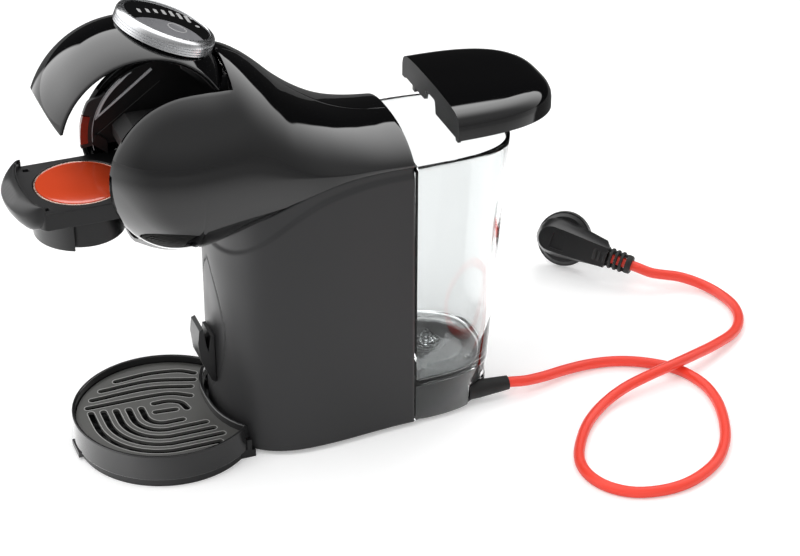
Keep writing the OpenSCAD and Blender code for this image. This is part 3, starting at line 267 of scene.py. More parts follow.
def make_finishes():
    """Every finish of the machine, by the slot that it fills."""
    c = settings().finishes
    make = {
        # Polished ABS: mirror-clear reflections that only just waver.
        "gloss_black": plastic("polished_abs", c.gloss, 0.05, 0.015, 9.0, 0.003, coat=0.8),
        # Spark-eroded ABS: broad soft highlights over a fine tooth.
        "satin_black": plastic("spark_eroded_abs", c.satin, 0.44, 0.04, 0.5, 0.012),
        # Etched polypropylene inside the head: nearly no highlight.
        "matte_black": plastic("etched_polypropylene", c.matte, 0.62, 0.05, 0.7, 0.02),
        # Etched grey ABS of the drip grid and the inner brackets: a flat mid grey.
        "dark_grey": plastic("etched_grey_abs", c.grey, 0.42, 0.05, 0.6, 0.015),
        # Soft moulded elastomer: dull and slightly dusty.
        "rubber_black": plastic("moulded_elastomer", c.rubber, 0.7, 0.06, 0.8, 0.03, share=0.25),
        # Turned and brushed aluminium: fine rings that draw the light out.
        "brushed_ring": metal("brushed_aluminium", c.ring, 0.26, 0.03, 0.8, 0.002, (1, 1, 0.1)),
        # Silver lacquer on a moulded strip: pale and even in any light; along the side walls' front edges the same
        # pale finish is a painted highlight.
        "silver_trim": plastic("silver_lacquer_and_painted_highlight", c.silver, 0.32, 0.04, 1.0, 0.004, share=0.04),
        # Smoked acrylic of the lamp window: dark red with a glassy surface.
        "smoked_red": plastic("smoked_acrylic", c.window, 0.08, 0.02, 6.0, 0.003, coat=0.5),
        # Clear copolyester of the tank: water-clear walls with a slow ripple and bright edges.
        "clear_tank": clear_plastic("clear_copolyester", c.tank, 0.0, 1.4, 30.0),
        # Drawn steel of pins and screws: a soft shine drawn out along the bar.
        "steel": metal("drawn_steel", c.steel, 0.25, 0.06, 0.8, 0.005, (1, 1, 0.15)),
        # Die-cast aluminium of the heater: grainy and dull.
        "cast_metal": metal("die_cast_aluminium", c.cast, 0.5, 0.08, 1.2, 0.04),
        # Extruded silicone hose: off-white with a waxy sheen.
        "white_hose": plastic("silicone_hose", c.hose, 0.5, 0.05, 2.0, 0.01),
        # Solder mask over a board: even green with a low shine.
        "circuit_green": plastic("solder_masked_board", c.board, 0.35, 0.06, 1.0, 0.01),
        # Lacquered foil of the capsule: strong colour under a tight, glassy highlight.
        "foil_orange": plastic("lacquered_foil", c.foil, 0.12, 0.03, 5.0, 0.01, coat=0.8, share=0.08),
        # Moulded polypropylene of the capsule's cup: dark brown and half dull.
        "capsule_brown": plastic("moulded_capsule", c.capsule, 0.4, 0.04, 1.0, 0.01),
        # Extruded PVC of the lead: bright red with a soft line of light along it.
        "cord_red": plastic("extruded_pvc", c.cord, 0.38, 0.05, 1.5, 0.01, share=0.06),
        # Moulded silicone of the seals: dull grey.
        "seal_silicone": plastic("silicone_seal", c.seal, 0.5, 0.05, 1.0, 0.01),
        # Polished ABS moulded without the lacquer: a softer gloss on the tray's bowl.
        "moulded_gloss": plastic("moulded_gloss_abs", c.bowl, 0.16, 0.04, 3.0, 0.004, coat=0.3),
        # Finely eroded ABS of the drawer and chin: darker and a little shinier than the column.
        "drawer_black": plastic("fine_eroded_abs", c.drawer, 0.36, 0.04, 0.5, 0.01),
        # Pale strips round the grid's slots: thin lighter lines, a painted highlight for the light that the slots'
        # chamfers catch.
        "grid_painted_highlight": plastic("painted_slot_highlight", c.bead, 0.3, 0.03, 1.0, 0.004, share=0.05),
        # Pad-printed marks: flat, even and slightly raised.
        "printed_marks": plastic("printed_marks", c.marks, 0.45, 0.03, 1.0, 0.004, share=0.04),
        # Smooth grey with a faint drift: metallic lacquer on the button cap and seat rings, and on the dial's face a
        # painted reflection of the softbox.
        "grey_lacquer": plastic("metallic_grey_and_painted_reflection", c.field, 0.3, 0.05, 0.5, 0.004, cloud_mm=18, share=0.1),
        # Bare rolled foil: bright and slightly crinkled.
        "bare_foil": metal("bare_aluminium_foil", c.rim, 0.3, 0.08, 1.5, 0.03),
        # Moulded acetal of the valve: milky white and half dull.
        "white_valve": plastic("acetal_valve", c.valve, 0.4, 0.05, 1.0, 0.01),
    }
    finishes.update(make)


def joined_faces():
    """A modifier tree that joins the fixed model's faces and shades them smooth between sharp edges."""
    tree = bpy.data.node_groups.new("joined_faces", "GeometryNodeTree")
    tree.interface.new_socket("Geometry", in_out="INPUT", socket_type="NodeSocketGeometry")
    tree.interface.new_socket("Geometry", in_out="OUTPUT", socket_type="NodeSocketGeometry")
    start = add(tree, "NodeGroupInput")
    bare = add(tree, "GeometryNodeRemoveAttribute", {"Geometry": start.outputs[0], "Name": "custom_normal"})
    joined = add(tree, "GeometryNodeMergeByDistance", {"Geometry": bare.outputs[0], "Distance": JOIN_M})
    links = {"Geometry": joined.outputs[0], "Shade Smooth": True}
    smooth = add(tree, "GeometryNodeSetShadeSmooth", links, domain="FACE")
    turn = add(tree, "GeometryNodeInputMeshEdgeAngle")
    links = {0: turn.outputs["Unsigned Angle"], 1: SHARP_TURN}
    sharp = add(tree, "FunctionNodeCompare", links, operation="GREATER_THAN")
    links = {"Geometry": smooth.outputs[0], "Selection": sharp.outputs[0], "Shade Smooth": False}
    edged = add(tree, "GeometryNodeSetShadeSmooth", links, domain="EDGE")
    add(tree, "NodeGroupOutput", {0: edged.outputs[0]})
    return tree


# Rounding of the moulded edges that show, in millimetres.
EDGES = {
    "base_plate": 0.5, "case_screws": 0.2, "chin_grille": 0.3, "dial_face": 0.15, "drawer_body": 0.5,
    "drawer_cup": 0.5, "drawer_rails": 0.4, "frame_cheeks": 0.3, "front_panel": 0.3, "grip_guard": 0.4,
    "jaw_block": 0.8, "lid_liner": 0.3, "plug_body": 0.9, "rear_wall": 0.4, "tray_bowl": 0.5,
    "tray_hook": 0.9, "tray_stand": 0.6,
}

# Nodes whose finish differs a little from that of their slot.
OWN_FINISH = {
    node: finish
    for finish, nodes in {
        "drawer_black": "chin_grille drawer_body drawer_cup grip_guard plug_body tray_hook tray_stand",
        "moulded_gloss": "tray_bowl",
        "matte_black": "drawer_guide jaw_block lever_arms",
        "clear_tank": "tank_valve valve_spring",
    }.items()
    for node in nodes.split()
}
# Longest gap that joins two points, and the turn from which an edge stays sharp or counts as flat.
JOIN_M, SHARP_TURN, FLAT_TURN = 2e-6, math.radians(34), math.radians(0.6)


def dress_nodes():
    """Gives every node of the fixed model a finish, its slot's or its own, and joined faces; the nodes listed in EDGES
    also get rounded edges.
    """
    tree = joined_faces()
    for name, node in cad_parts.items():
        slot = node.data.materials[0].name.split(".")[0] if node.data.materials else "matte_black"
        node.data.materials.clear()
        node.data.materials.append(finishes[OWN_FINISH.get(name, slot)])
        joined = node.modifiers.new("joined_faces", "NODES")
        joined.node_group = tree
        if name in EDGES:
            flat = node.modifiers.new("flats", "DECIMATE")
            flat.decimate_type = "DISSOLVE"
            flat.angle_limit = FLAT_TURN
            soften(node, EDGES[name])
            node.modifiers.new("flat_shading", "WEIGHTED_NORMAL").keep_sharp = True


# ---- mesh building ----


def piece(name, points, faces, body, slot_name, stands_for=(), crease=35, finish=None):
    """A mesh piece from points in millimetres, riding on its body with its finish."""
    mesh = bpy.data.meshes.new(name)
    mesh.from_pydata([tuple(float(v) * MM for v in p) for p in points], [], faces)
    made = bmesh.new()
    made.from_mesh(mesh)
    bmesh.ops.remove_doubles(made, verts=made.verts, dist=1e-6)
    bmesh.ops.recalc_face_normals(made, faces=made.faces)
    made.to_mesh(mesh)
    made.free()
    mesh.polygons.foreach_set("use_smooth", [True] * len(mesh.polygons))
    mesh.set_sharp_from_angle(angle=math.radians(crease))
    mesh.materials.append(finishes[finish or slot_name])
    made = bpy.data.objects.new(name, mesh)
    bpy.context.scene.collection.objects.link(made)
    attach(made, body)
    if stands_for:
        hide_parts(*stands_for)
    return made


def skin(rows, turn=False):
    """Points and quads of a sheet given as rows of points."""
    rows = [list(r) for r in rows]
    n = len(rows[0])
    points = [p for r in rows for p in r]
    faces = []
    for i in range(len(rows) - 1):
        for j in range(n - 1):
            quad = [i * n + j, i * n + j + 1, (i + 1) * n + j + 1, (i + 1) * n + j]
            faces.append(quad[::-1] if turn else quad)
    return points, faces


def together(*parts):
    """Joins several (points, faces) pairs."""
    points, faces = [], []
    for p, f in parts:
        shift = len(points)
        points += list(p)
        faces += [[i + shift for i in quad] for quad in f]
    return points, faces


def loft(loops, closed_ends=True):
    """A closed solid through loops of equal length."""
    n = len(loops[0])
    points = [p for r in loops for p in r]
    faces = []
    for i in range(len(loops) - 1):
        for j in range(n):
            k = (j + 1) % n
            faces.append([i * n + j, i * n + k, (i + 1) * n + k, (i + 1) * n + j])
    if closed_ends:
        faces.append(list(range(n))[::-1])
        faces.append([(len(loops) - 1) * n + j for j in range(n)])
    return points, faces


def thicken(made, wall, edge=0.35, steps=2):
    """Gives a sheet its wall, inwards, and rounds the rim."""
    solid = made.modifiers.new("wall", "SOLIDIFY")
    solid.thickness = wall
    solid.offset = -1
    solid.use_even_offset = True
    solid.use_quality_normals = True
    soften(made, edge, steps, 50)
    return made


def soften(made, edge, steps=2, angle=40):
    """Rounds the sharp edges of a piece, in millimetres."""
    rim = made.modifiers.new("edges", "BEVEL")
    rim.width = edge * MM
    rim.segments = steps
    rim.limit_method = "ANGLE"
    rim.angle_limit = math.radians(angle)
    rim.use_clamp_overlap = True
    rim.harden_normals = False
    return made


def standing_at(cx, cy):
    """A placing function for pieces that stand on this place of the plan."""
    return lambda x, y, z: [cx + x, cy + y, z]


def spline(table):
    """A smooth curve through (place, value) pairs."""
    xs = np.array([p[0] for p in table], float)
    ys = np.array([p[1] for p in table], float)
    slopes = np.gradient(ys, xs)

    def value(x):
        i = int(np.clip(np.searchsorted(xs, x) - 1, 0, len(xs) - 2))
        h = xs[i + 1] - xs[i]
        t = min(1.0, max(0.0, (x - xs[i]) / h))
        a, b = 2 * t**3 - 3 * t**2 + 1, t**3 - 2 * t**2 + t
        return a * ys[i] + b * h * slopes[i] + (1 - a) * ys[i + 1] + (t**3 - t**2) * h * slopes[i + 1]

    return value


def mix(a, b, t):
    """The value a share t of the way from a to b."""
    return a + (b - a) * t


def ease(t):
    """A smooth step from 0 to 1, flat outside."""
    t = min(1.0, max(0.0, t))
    return t * t * (3 - 2 * t)


def steps(a, b, n):
    """Values from a to b in n equal steps, with both ends."""
    return [float(v) for v in np.linspace(a, b, n + 1)]


# ---- the covers ----

SEAM_Y = 73.0
HEAD_Y, HEAD_Z, HEAD_R, HEAD_W = -59.0, 200.0, 60.5, 57.5
MOUTH_W, REAR_Y = 32.5, 72.7
# Where the dome's open mouth ends and the neck's closed top begins.
LIP_Y = -33.0


def head_h(y):
    """Height of the head's round section above its middle."""
    return math.sqrt(max(0.0, HEAD_R**2 - (y - HEAD_Y) ** 2))


# Curves along the machine: the crown's height, the flank's half width, the belt's height, and the
# hem's half width and height. The first two start on the head's round section.
BEFORE = (-89.0, -74.0)
CROWN = spline([(y, HEAD_Z + head_h(y)) for y in BEFORE] + [
    (-59, 260.5), (-44, 260.3), (-29, 259.8), (-15, 251.5), (-6, 243.5), (3, 234.5), (13, 226),
    (24, 218.3), (33, 213.2), (45, 208.3), (58, 205), (73, 203),
])
FLANK = spline([(y, HEAD_W * head_h(y) / HEAD_R) for y in BEFORE] + [
    (-59, 57.5), (-44, 56.6), (-30, 55.2), (-10, 52.6), (8, 50.8), (30, 49), (54, 47.4), (73, 46.5),
])
BELT = spline([(-59, 200), (-30, 199), (-10, 196), (10, 192.5), (30, 189.5), (50, 188.5), (73, 187)])
HEM_X = spline([
    (-59, 32.5), (-50, 35.5), (-42, 38.5), (-25, 43.8), (-6.5, 47.8), (12, 49.8), (30, 48.6),
    (49, 47.2), (73, 46.2),
])
HEM_Z = spline([
    (-59, 150.1), (-50, 153), (-42, 157), (-25, 165.8), (-6.5, 175), (12, 181.8), (30, 185.2),
    (49, 186.2), (73, 185.6),
])


def cover_top(x, y):
    """Height of the cover above its belt line at a place."""
    k, w = ease((y - HEAD_Y - 14) / 70), FLANK(y)
    rise = max(0.0, 1 - (x / w) ** mix(2, 2.5, k)) ** (1 / mix(2, 1.2, k))
    return BELT(y) + (CROWN(y) - BELT(y)) * rise


def cover_low(y, t):
    """The flank under the belt line, from the belt at t 0 to the hem at t 1."""
    w, low = FLANK(y), HEM_X(y)
    return [math.sqrt(w * w - (w * w - low * low) * t * t), y, mix(BELT(y), HEM_Z(y), t)]


def cover_half():
    """One half of the cover as sheets that meet: front of the dome, side, and top of the neck."""
    s = settings().cover
    gap = s.seam / MM
    mouth = math.asin(MOUTH_W / HEAD_W)
    turns = [mouth + (math.pi / 2 - mouth) * t for t in steps(0, 1, 22)]
    fan = []
    for a in steps(0, math.pi, 56):
        row = []
        for q in turns:
            r = HEAD_R * math.cos(q)
            row.append([HEAD_W * math.sin(q), HEAD_Y - r * math.sin(a), HEAD_Z + r * math.cos(a)])
        fan.append(row)
    ys = sorted(set(steps(HEAD_Y, LIP_Y, 10) + steps(LIP_Y, REAR_Y, 60)))
    side = []
    for y in ys:
        w = FLANK(y)
        row = [[MOUTH_W, y, cover_top(MOUTH_W, y)]]
        for q in turns[1:-1]:
            x = mix(MOUTH_W, w, (math.sin(q) * HEAD_W - MOUTH_W) / (HEAD_W - MOUTH_W))
            row.append([x, y, cover_top(x, y)])
        row.append([w, y, BELT(y)])
        side.append(row + [cover_low(y, math.cos(q) / math.cos(mouth)) for q in turns[-2::-1]])
    neck = []
    xs = [mix(gap, MOUTH_W, t) for t in steps(0, 1, 20)]
    for y in [v for v in ys if v >= LIP_Y]:
        neck.append([[x, y, cover_top(x, y)] for x in xs])
    return together(skin(fan), skin(side, True), skin(neck, True))


class COFFEE_OT_covers(Operator):
    """Builds the two gloss halves of the head and neck"""

    bl_idname = "coffee.covers"
    bl_label = "Covers"

    def execute(self, context):
        points, faces = cover_half()
        mirrored = [[-x, y, z] for x, y, z in points], [face[::-1] for face in faces]
        for name, sheet, node in (("right", (points, faces), "cowl_right"), ("left", mirrored, "cowl_left")):
            cover = piece("cover_" + name, *sheet, "machine", "gloss_black", [node], crease=60)
            thicken(cover, settings().cover.wall)
        return {"FINISHED"}


# ---- the column ----

MID_Y, COLUMN_W, COLUMN_REAR_W, NOSE_DEPTH, ROUNDNESS = 8.0, 50.5, 46.2, 52, 2.4
# The front panel's leaf: two circles of this radius, each set off across, meet at its tips.
LEAF_R, LEAF_X, LEAF_Z = 62.0, 41.0, 77.0
COLUMN_FOOT, FOOT_INSET, FOOT_HEIGHT = 3.0, 0.9, 1.4


def column_path():
    """Places and outward ways round the column, from the right rear over the nose to the left rear."""
    half = []
    for k in range(91):
        a = math.pi / 2 * (k / 90) ** 1.15
        across_share, along_share = math.sin(a) ** (2 / ROUNDNESS), math.cos(a) ** (2 / ROUNDNESS)
        half.append((COLUMN_W * across_share, MID_Y - NOSE_DEPTH * along_share))
    for k in range(1, 41):
        half.append((mix(COLUMN_W, COLUMN_REAR_W, ease(k / 40)), mix(MID_Y, SEAM_Y, k / 40)))
    path = half[::-1] + [(-x, y) for x, y in half[1:]]
    ways = []
    for k in range(len(path)):
        a, b = path[max(0, k - 1)], path[min(len(path) - 1, k + 1)]
        dx, dy = b[0] - a[0], b[1] - a[1]
        span = math.hypot(dx, dy)
        ways.append((-dy / span, dx / span))
    return path, ways


# Depth of the neck band under the cover's hem, wide at the nose and narrow at the rear.
BAND = spline([
    (-44, 17.5), (-36, 18.5), (-28, 17.5), (-18, 15), (-6, 11.5), (6, 9), (20, 7.5), (40, 6.5), (73, 6),
])


class COFFEE_OT_column(Operator):
    """Builds the column with its recessed neck band and the parting groove of the front panel"""

    bl_idname = "coffee.column"
    bl_label = "Column"

    def execute(self, context):
        s = settings().cover
        band, groove = s.band / MM, s.groove / MM
        path, ways = column_path()
        rows = []
        count = 170
        for t in (j / count for j in range(count + 1)):
            row = []
            for (x, y), (nx, ny) in zip(path, ways):
                top = HEM_Z(y) - 0.4
                z = mix(COLUMN_FOOT, top, t)
                inset = band * ease((z - (top - BAND(y))) / 3.2 + 0.5)
                inset += FOOT_INSET * ease(1 - (z - COLUMN_FOOT) / FOOT_HEIGHT) ** 2
                if y < 10:
                    side = math.hypot(abs(x) + LEAF_X, z - LEAF_Z) - LEAF_R
                    inset += groove * max(0.0, 1 - abs(side) / 0.75)
                row.append([x - nx * inset, y - ny * inset, z])
            rows.append(row)
        shell = piece("column_cover", *skin(rows), "machine", "satin_black", ["column_shell"], crease=70)
        solid = shell.modifiers.new("wall", "SOLIDIFY")
        solid.thickness, solid.offset = s.wall, -1
        return {"FINISHED"}


# ---- the lever ----

LEVER_Y, LEVER_Z = -85.5, 225.5
# The shell runs from its rear edge to a front edge that comes lower at its sides.
REAR_TURN, FRONT_TURN, FRONT_DROP = -62, 67, 9.5
LINER_HALF, LINER_GAP = 29, 0.25


def visor(x, a, inside=0.0):
    """A point of the lever's dome: x across, a round from the top towards the front."""
    r = HEAD_R * math.sqrt(1 - (x / HEAD_W) ** 2) - inside
    return [x, LEVER_Y - r * math.sin(a), LEVER_Z + r * math.cos(a)]


class COFFEE_OT_lever(Operator):
    """Builds the lever's polished shell and its dark liner"""

    bl_idname = "coffee.lever"
    bl_label = "Lever"

    def execute(self, context):
        s = settings().lever
        half = s.half_width / MM
        rear = math.radians(REAR_TURN)

        def rows(w, inside, cut):
            """Rows of the dome from rear to front: half width, depth under the shell, and cut of both ends."""
            made = []
            for t in steps(0, 1, 80):
                row = []
                for x in steps(-w, w, 44):
                    front = math.radians(FRONT_TURN + FRONT_DROP * abs(x / 31.8) ** 2.2) - cut
                    row.append(visor(x, mix(rear + cut, front, t), inside))
                made.append(row)
            return made

        shell = piece("lever_cover", *skin(rows(half, 0, 0)), "lever", "gloss_black", ["lever_shell"], crease=60)
        thicken(shell, s.shell, 0.5, 3)
        lining = skin(rows(LINER_HALF, s.shell / MM + LINER_GAP, math.radians(1)))
        liner = piece("lever_lining", *lining, "lever", "matte_black", ["lever_liner"], crease=60)
        thicken(liner, s.liner, 0.3)
        return {"FINISHED"}


# ---- the lead and its plug ----

CORD = [
    (33, 123, 9), (33, 133, 9), (33, 143, 9), (34, 154, 8.2), (31.5, 168, 6.6), (27, 186, 5),
    (25, 203, 4), (27, 220, 3.6), (34, 236, 3.6), (46, 251, 3.6), (59, 259, 3.6), (76, 263, 3.6),
    (97, 261, 3.6), (121, 253, 3.6), (139, 243, 3.6), (154, 229, 3.6), (165, 209, 3.6), (168, 190, 3.6),
    (164, 171, 3.6), (153, 158, 3.6), (138, 152, 3.6), (122, 153, 3.6), (105, 161, 3.6), (86, 175, 3.8),
    (72, 192, 5), (64, 210, 7.8), (60, 229, 10.6), (56, 247, 11.8), (49, 266, 10.8), (38, 288, 7.8),
    (25, 308, 4.8), (10, 320, 3.6), (-7, 325, 3.6), (-24, 323, 3.8), (-38, 316, 5.2), (-48, 304, 8),
]
# The lead ends inside the plug, at these distances along the plug's axis.
CORD_IN_PLUG = (68, 56, 44, 36)
PLUG_AT, PLUG_AXIS = Vector((-104, 242, 20.4)), -6.5
PLUG_TURN = (
    Matrix.Rotation(math.radians(50), 3, "Z")
    @ Matrix.Rotation(math.radians(-20), 3, "X")
    @ Matrix.Rotation(math.radians(10), 3, "Y")
)


def on_plug(x, y=PLUG_AXIS, z=0.0):
    """A place given in the plug's own frame: x along the lead, -y towards the hand."""
    return PLUG_AT + PLUG_TURN @ Vector((x, y, z))


def catmull(points, per):
    """A smooth path through points."""
    pts = [np.array(p, float) for p in points]
    pts = [2 * pts[0] - pts[1]] + pts + [2 * pts[-1] - pts[-2]]
    path = []
    for i in range(1, len(pts) - 2):
        a, b, c, d = pts[i - 1 : i + 3]
        for k in range(per):
            t = k / per
            curve = (2 * a - 5 * b + 4 * c - d) * t**2 + (3 * b - a - 3 * c + d) * t**3
            path.append(0.5 * (2 * b + (c - a) * t + curve))
    path.append(pts[-2])
    return path


class COFFEE_OT_cord(Operator):
    """Builds the mains lead from the grommet to the plug"""

    bl_idname = "coffee.cord"
    bl_label = "Mains Lead"

    def execute(self, context):
        s = settings().cord
        points = list(CORD) + [tuple(on_plug(d)) for d in CORD_IN_PLUG]
        path = catmull(points, 4)
        curve = bpy.data.curves.new("mains_lead", "CURVE")
        curve.dimensions = "3D"
        curve.bevel_depth = s.diameter / 2
        curve.bevel_resolution = 6
        curve.use_fill_caps = True
        line = curve.splines.new("POLY")
        line.points.add(len(path) - 1)
        for point, place in zip(line.points, path):
            point.co = (*(place * MM), 1)
        curve.materials.append(finishes["cord_red"])
        lead = bpy.data.objects.new("mains_lead", curve)
        bpy.context.scene.collection.objects.link(lead)
        line.use_smooth = True
        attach(lead, "machine")
        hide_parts("power_cord")
        return {"FINISHED"}


# ---- the dial ----

DIAL_Y, DIAL_Z, DIAL_TILT = -61.2, 282.9, math.radians(23.4)
BUTTON = (8.6, 3.8)


def on_dial(x, y, z):
    """A place given in the dial's own frame, with its face at z 0."""
    c, s = math.cos(DIAL_TILT), math.sin(DIAL_TILT)
    return [x, DIAL_Y + y * c + z * s, DIAL_Z - y * s + z * c]


def turned(profile, count, place, hub=False, tooth=0.0, toothed=None):
    """A turned solid from (radius, height) pairs; a profile with a hub is closed at its ends."""
    loops = []
    for r, z in profile:
        loop = []
        for k in range(count):
            q = 2 * math.pi * k / count
            cut = tooth if toothed and k % 2 and r >= toothed else 0.0
            loop.append(place((r - cut) * math.cos(q), (r - cut) * math.sin(q), z))
        loops.append(loop)
    if hub:
        return loft(loops)
    return loft(loops + loops[:1], closed_ends=False)


def plate(outline, low, high, place):
    """A thin plate with the given outline."""
    return loft([[place(x, y, low) for x, y in outline], [place(x, y, high) for x, y in outline]])


def rounded(x0, x1, y0, y1, r, n=5):
    """Outline of a rectangle with round corners."""
    made = []
    corners = ((x1 - r, y1 - r, 0), (x0 + r, y1 - r, 90), (x0 + r, y0 + r, 180), (x1 - r, y0 + r, 270))
    for cx, cy, a in corners:
        turns = [math.radians(a + 90 * k / n) for k in range(n + 1)]
        made += [(cx + r * math.cos(q), cy + r * math.sin(q)) for q in turns]
    return made


def round_outline(cx, cy, r, n=40):
    """Outline of a circle."""
    turns = [2 * math.pi * k / n for k in range(n)]
    return [(cx + r * math.cos(q), cy + r * math.sin(q)) for q in turns]


# Seven strength bars on the dial: start and end across, and place along.
BARS = [
    (-8.2, -3.0, -15.9), (-11.7, -6.3, -9.5), (-14.3, -8.7, -3.7), (-16.4, -9.8, 2.0),
    (-17.6, -10.1, 7.2), (-17.4, -8.8, 12.1), (-16.0, -6.4, 16.5),
]
BAR_HALF, BAR_ROUND, MARK_HEIGHT = 1.15, 0.8, 0.06
# Dots at the end of the bars: place and radius.
DOTS = [(-2.7, 20.3, 1.35), (-13.4, 19.6, 0.8)]
RING_R, TOOTHED_R, GROOVE_PITCH = 30, 29.95, 1.55
# The ring's lip and outer wall down to its three turned grooves, and its foot.
RING_TOP = [
    (28.0, -8.0), (28.0, -2.3), (26.0, -2.2), (26.0, 0.0), (26.1, 0.5), (26.4, 0.8), (26.75, 0.85),
    (29.2, -0.55), (29.6, -1.1), (29.75, -1.7), (RING_R, -2.3), (RING_R, -3.4),
]
RING_FOOT = [(29.6, -8.35), (29.0, -8.5), (28.2, -8.45)]
# Inner edge of the grey field, a painted reflection of the softbox, and the radius of its outer edge.
FIELD_EDGE = [
    (9.6, -23.4), (5.9, -18.6), (2.9, -12.4), (1.3, -6.2), (0.7, 0.0), (1.6, 6.0), (5.0, 11.0),
    (10.6, 15.0), (18.2, 17.4),
]
FIELD_R = 25.2
BUTTON_HOLE_R = 5.15
BUTTON_RIM = [(5.2, 0.0), (5.2, 0.1), (5.35, 0.16), (5.7, 0.16), (5.85, 0.1), (5.85, 0.0)]
BUTTON_CAP = [
    (0.4, -1.2), (4.6, -1.2), (4.95, -1.0), (4.98, 0.02), (4.8, 0.1), (4.45, 0.1), (4.3, 0.0),
    (3.6, -0.05), (1.6, -0.12), (0.3, -0.14),
]


def on_button(x, y, z):
    """A place given from the start button's middle, on the dial's face."""
    return on_dial(BUTTON[0] + x, BUTTON[1] + y, z)


def ring_section():
    """Section of the ring: lip, three turned grooves and foot."""
    grooves = []
    for k in range(3):
        z = RING_TOP[-1][1] - GROOVE_PITCH * k
        grooves += [(29.45, z - 0.25), (29.45, z - 0.5), (RING_R, z - 0.75), (RING_R, z - 1.55)]
    return RING_TOP + grooves + RING_FOOT


class COFFEE_OT_dial(Operator):
    """Builds the knurled ring, the face's marks and the start button"""

    bl_idname = "coffee.dial"
    bl_label = "Dial"

    def execute(self, context):
        s = settings().dial
        ring = turned(ring_section(), s.teeth * 2, on_dial, tooth=s.tooth / MM, toothed=TOOTHED_R)
        piece("dial_knob", *ring, "dial", "brushed_ring", ["dial_ring"], crease=40)

        marks = [rounded(a, b, y - BAR_HALF, y + BAR_HALF, BAR_ROUND) for a, b, y in BARS]
        marks += [round_outline(*dot) for dot in DOTS]
        parts = [plate(outline, 0.0, MARK_HEIGHT, on_dial) for outline in marks]
        parts.append(turned(BUTTON_RIM, 64, on_button))
        piece("dial_marks", *together(*parts), "lever", "silver_trim", (), finish="printed_marks")

        # Pale lens-shaped field on the near side of the face, round the button's hole: a painted reflection of the
        # softbox in the dark face.
        across_at, along_at = (spline([(k, p[i]) for k, p in enumerate(FIELD_EDGE)]) for i in (0, 1))
        field = [(across_at(v), along_at(v)) for v in steps(0, len(FIELD_EDGE) - 1, 48)]
        ends = [math.atan2(y, x) for x, y in (FIELD_EDGE[-1], FIELD_EDGE[0])]
        field += [(FIELD_R * math.cos(q), FIELD_R * math.sin(q)) for q in steps(*ends, 60)]
        hole = round_outline(*BUTTON, BUTTON_HOLE_R, 64)
        lens = perforated(field, [hole], 0.0, 0.03, on_dial)
        piece("dial_painted_reflection", *lens, "lever", "silver_trim", (), finish="grey_lacquer")
        cap = turned(BUTTON_CAP, 64, on_button, hub=True)
        piece("start_cap", *cap, "button", "silver_trim", ["start_button"], finish="grey_lacquer")
        return {"FINISHED"}


# ---- the drip tray's grid ----

TRAY_Y, TRAY_R = -75.5, 57.6
GRID_LOW, GRID_TOP = 16.8, 18.55
# Height of the pale strips round the slots, a painted highlight.
HIGHLIGHT_LOW, HIGHLIGHT_TOP = 18.5, 18.66
RIM_GAP, NOSE_GAP = 2.6, 2.7
LEG_R, LEG_TURNS = 50, (200, 270, 340)

# Slots of the grid as paths, across and along from the tray's middle: four outer ones, then two inner ones.
SLOTS = [
    [(-42.1, -20.2), (-43.6, 1.5), (-40.4, 20.0), (-34.5, 29.0)],
    [(-34.6, -31.8), (-35.4, -0.8), (-27.2, 26.6)],
    [(-26.6, -39.8), (-27.4, -3.1), (-20.4, 22.6)],
    [(-18.9, -44.5), (-18.6, -5.9), (-16.6, 9.0), (-10.4, 19.4)],
    [(0.0, -6.0), (1.2, 6.4)],
    [(-9.6, -4.4), (-9.2, 4.6), (-5.0, 11.4), (2.5, 13.6)],
]
# Slots that turn a quarter round: radius of the bend, and where the slot starts and ends.
BENDS = [(11.4, -7.0, 7.4), (19.1, -8.6, 20.0), (26.8, -10.2, 22.6), (34.5, -11.6, 26.0), (42.2, -12.6, 22.0)]


def stroke(path, half, per=8, cap=8):
    """Outline of a slot of half width `half` along a path, with round ends."""
    line = catmull(path, per)
    left, right = [], []
    for k in range(len(line)):
        a, b = line[max(0, k - 1)], line[min(len(line) - 1, k + 1)]
        d = (b - a) / np.linalg.norm(b - a)
        left.append(line[k] + half * np.array((-d[1], d[0])))
        right.append(line[k] - half * np.array((-d[1], d[0])))

    def round_end(at, first):
        """Half circle about an end of the path, from the outline's last point round to the other side."""
        start = math.atan2(first[1] - at[1], first[0] - at[0])
        turns = [start - math.pi * k / cap for k in range(1, cap)]
        return [np.array((at[0] + half * math.cos(q), at[1] + half * math.sin(q))) for q in turns]

    return [tuple(p) for p in left + round_end(line[-1], left[-1]) + right[::-1] + round_end(line[0], right[0])]


def grid_slots(half):
    """Outlines of every slot of the grid."""
    paths = list(SLOTS)
    for r, start, end in BENDS:
        bend = [(2 + r * math.sin(q), -2 - r * math.cos(q)) for q in steps(0, math.pi / 2, 8)]
        paths.append([(start, -2 - r)] + bend + [(2 + r, end)])
    return [stroke(path, half) for path in paths]


def near_nose(gap):
    """Edge of the tray by the column's nose, this far from it, as seen from the tray's middle."""
    places = zip(*column_path())
    return [(x + nx * gap, y + ny * gap - TRAY_Y) for (x, y), (nx, ny) in places if y < 0]


def tray_outline(r, gap, count=120):
    """The tray's round outline with the bite that takes the column's nose."""
    bite = [p for p in near_nose(gap) if math.hypot(*p) < r - 0.2]
    start, end = math.atan2(bite[-1][1], bite[-1][0]), math.atan2(bite[0][1], bite[0][0])
    arc = [(r * math.cos(q), r * math.sin(q)) for q in steps(start, end + 2 * math.pi, count)]
    return bite + arc


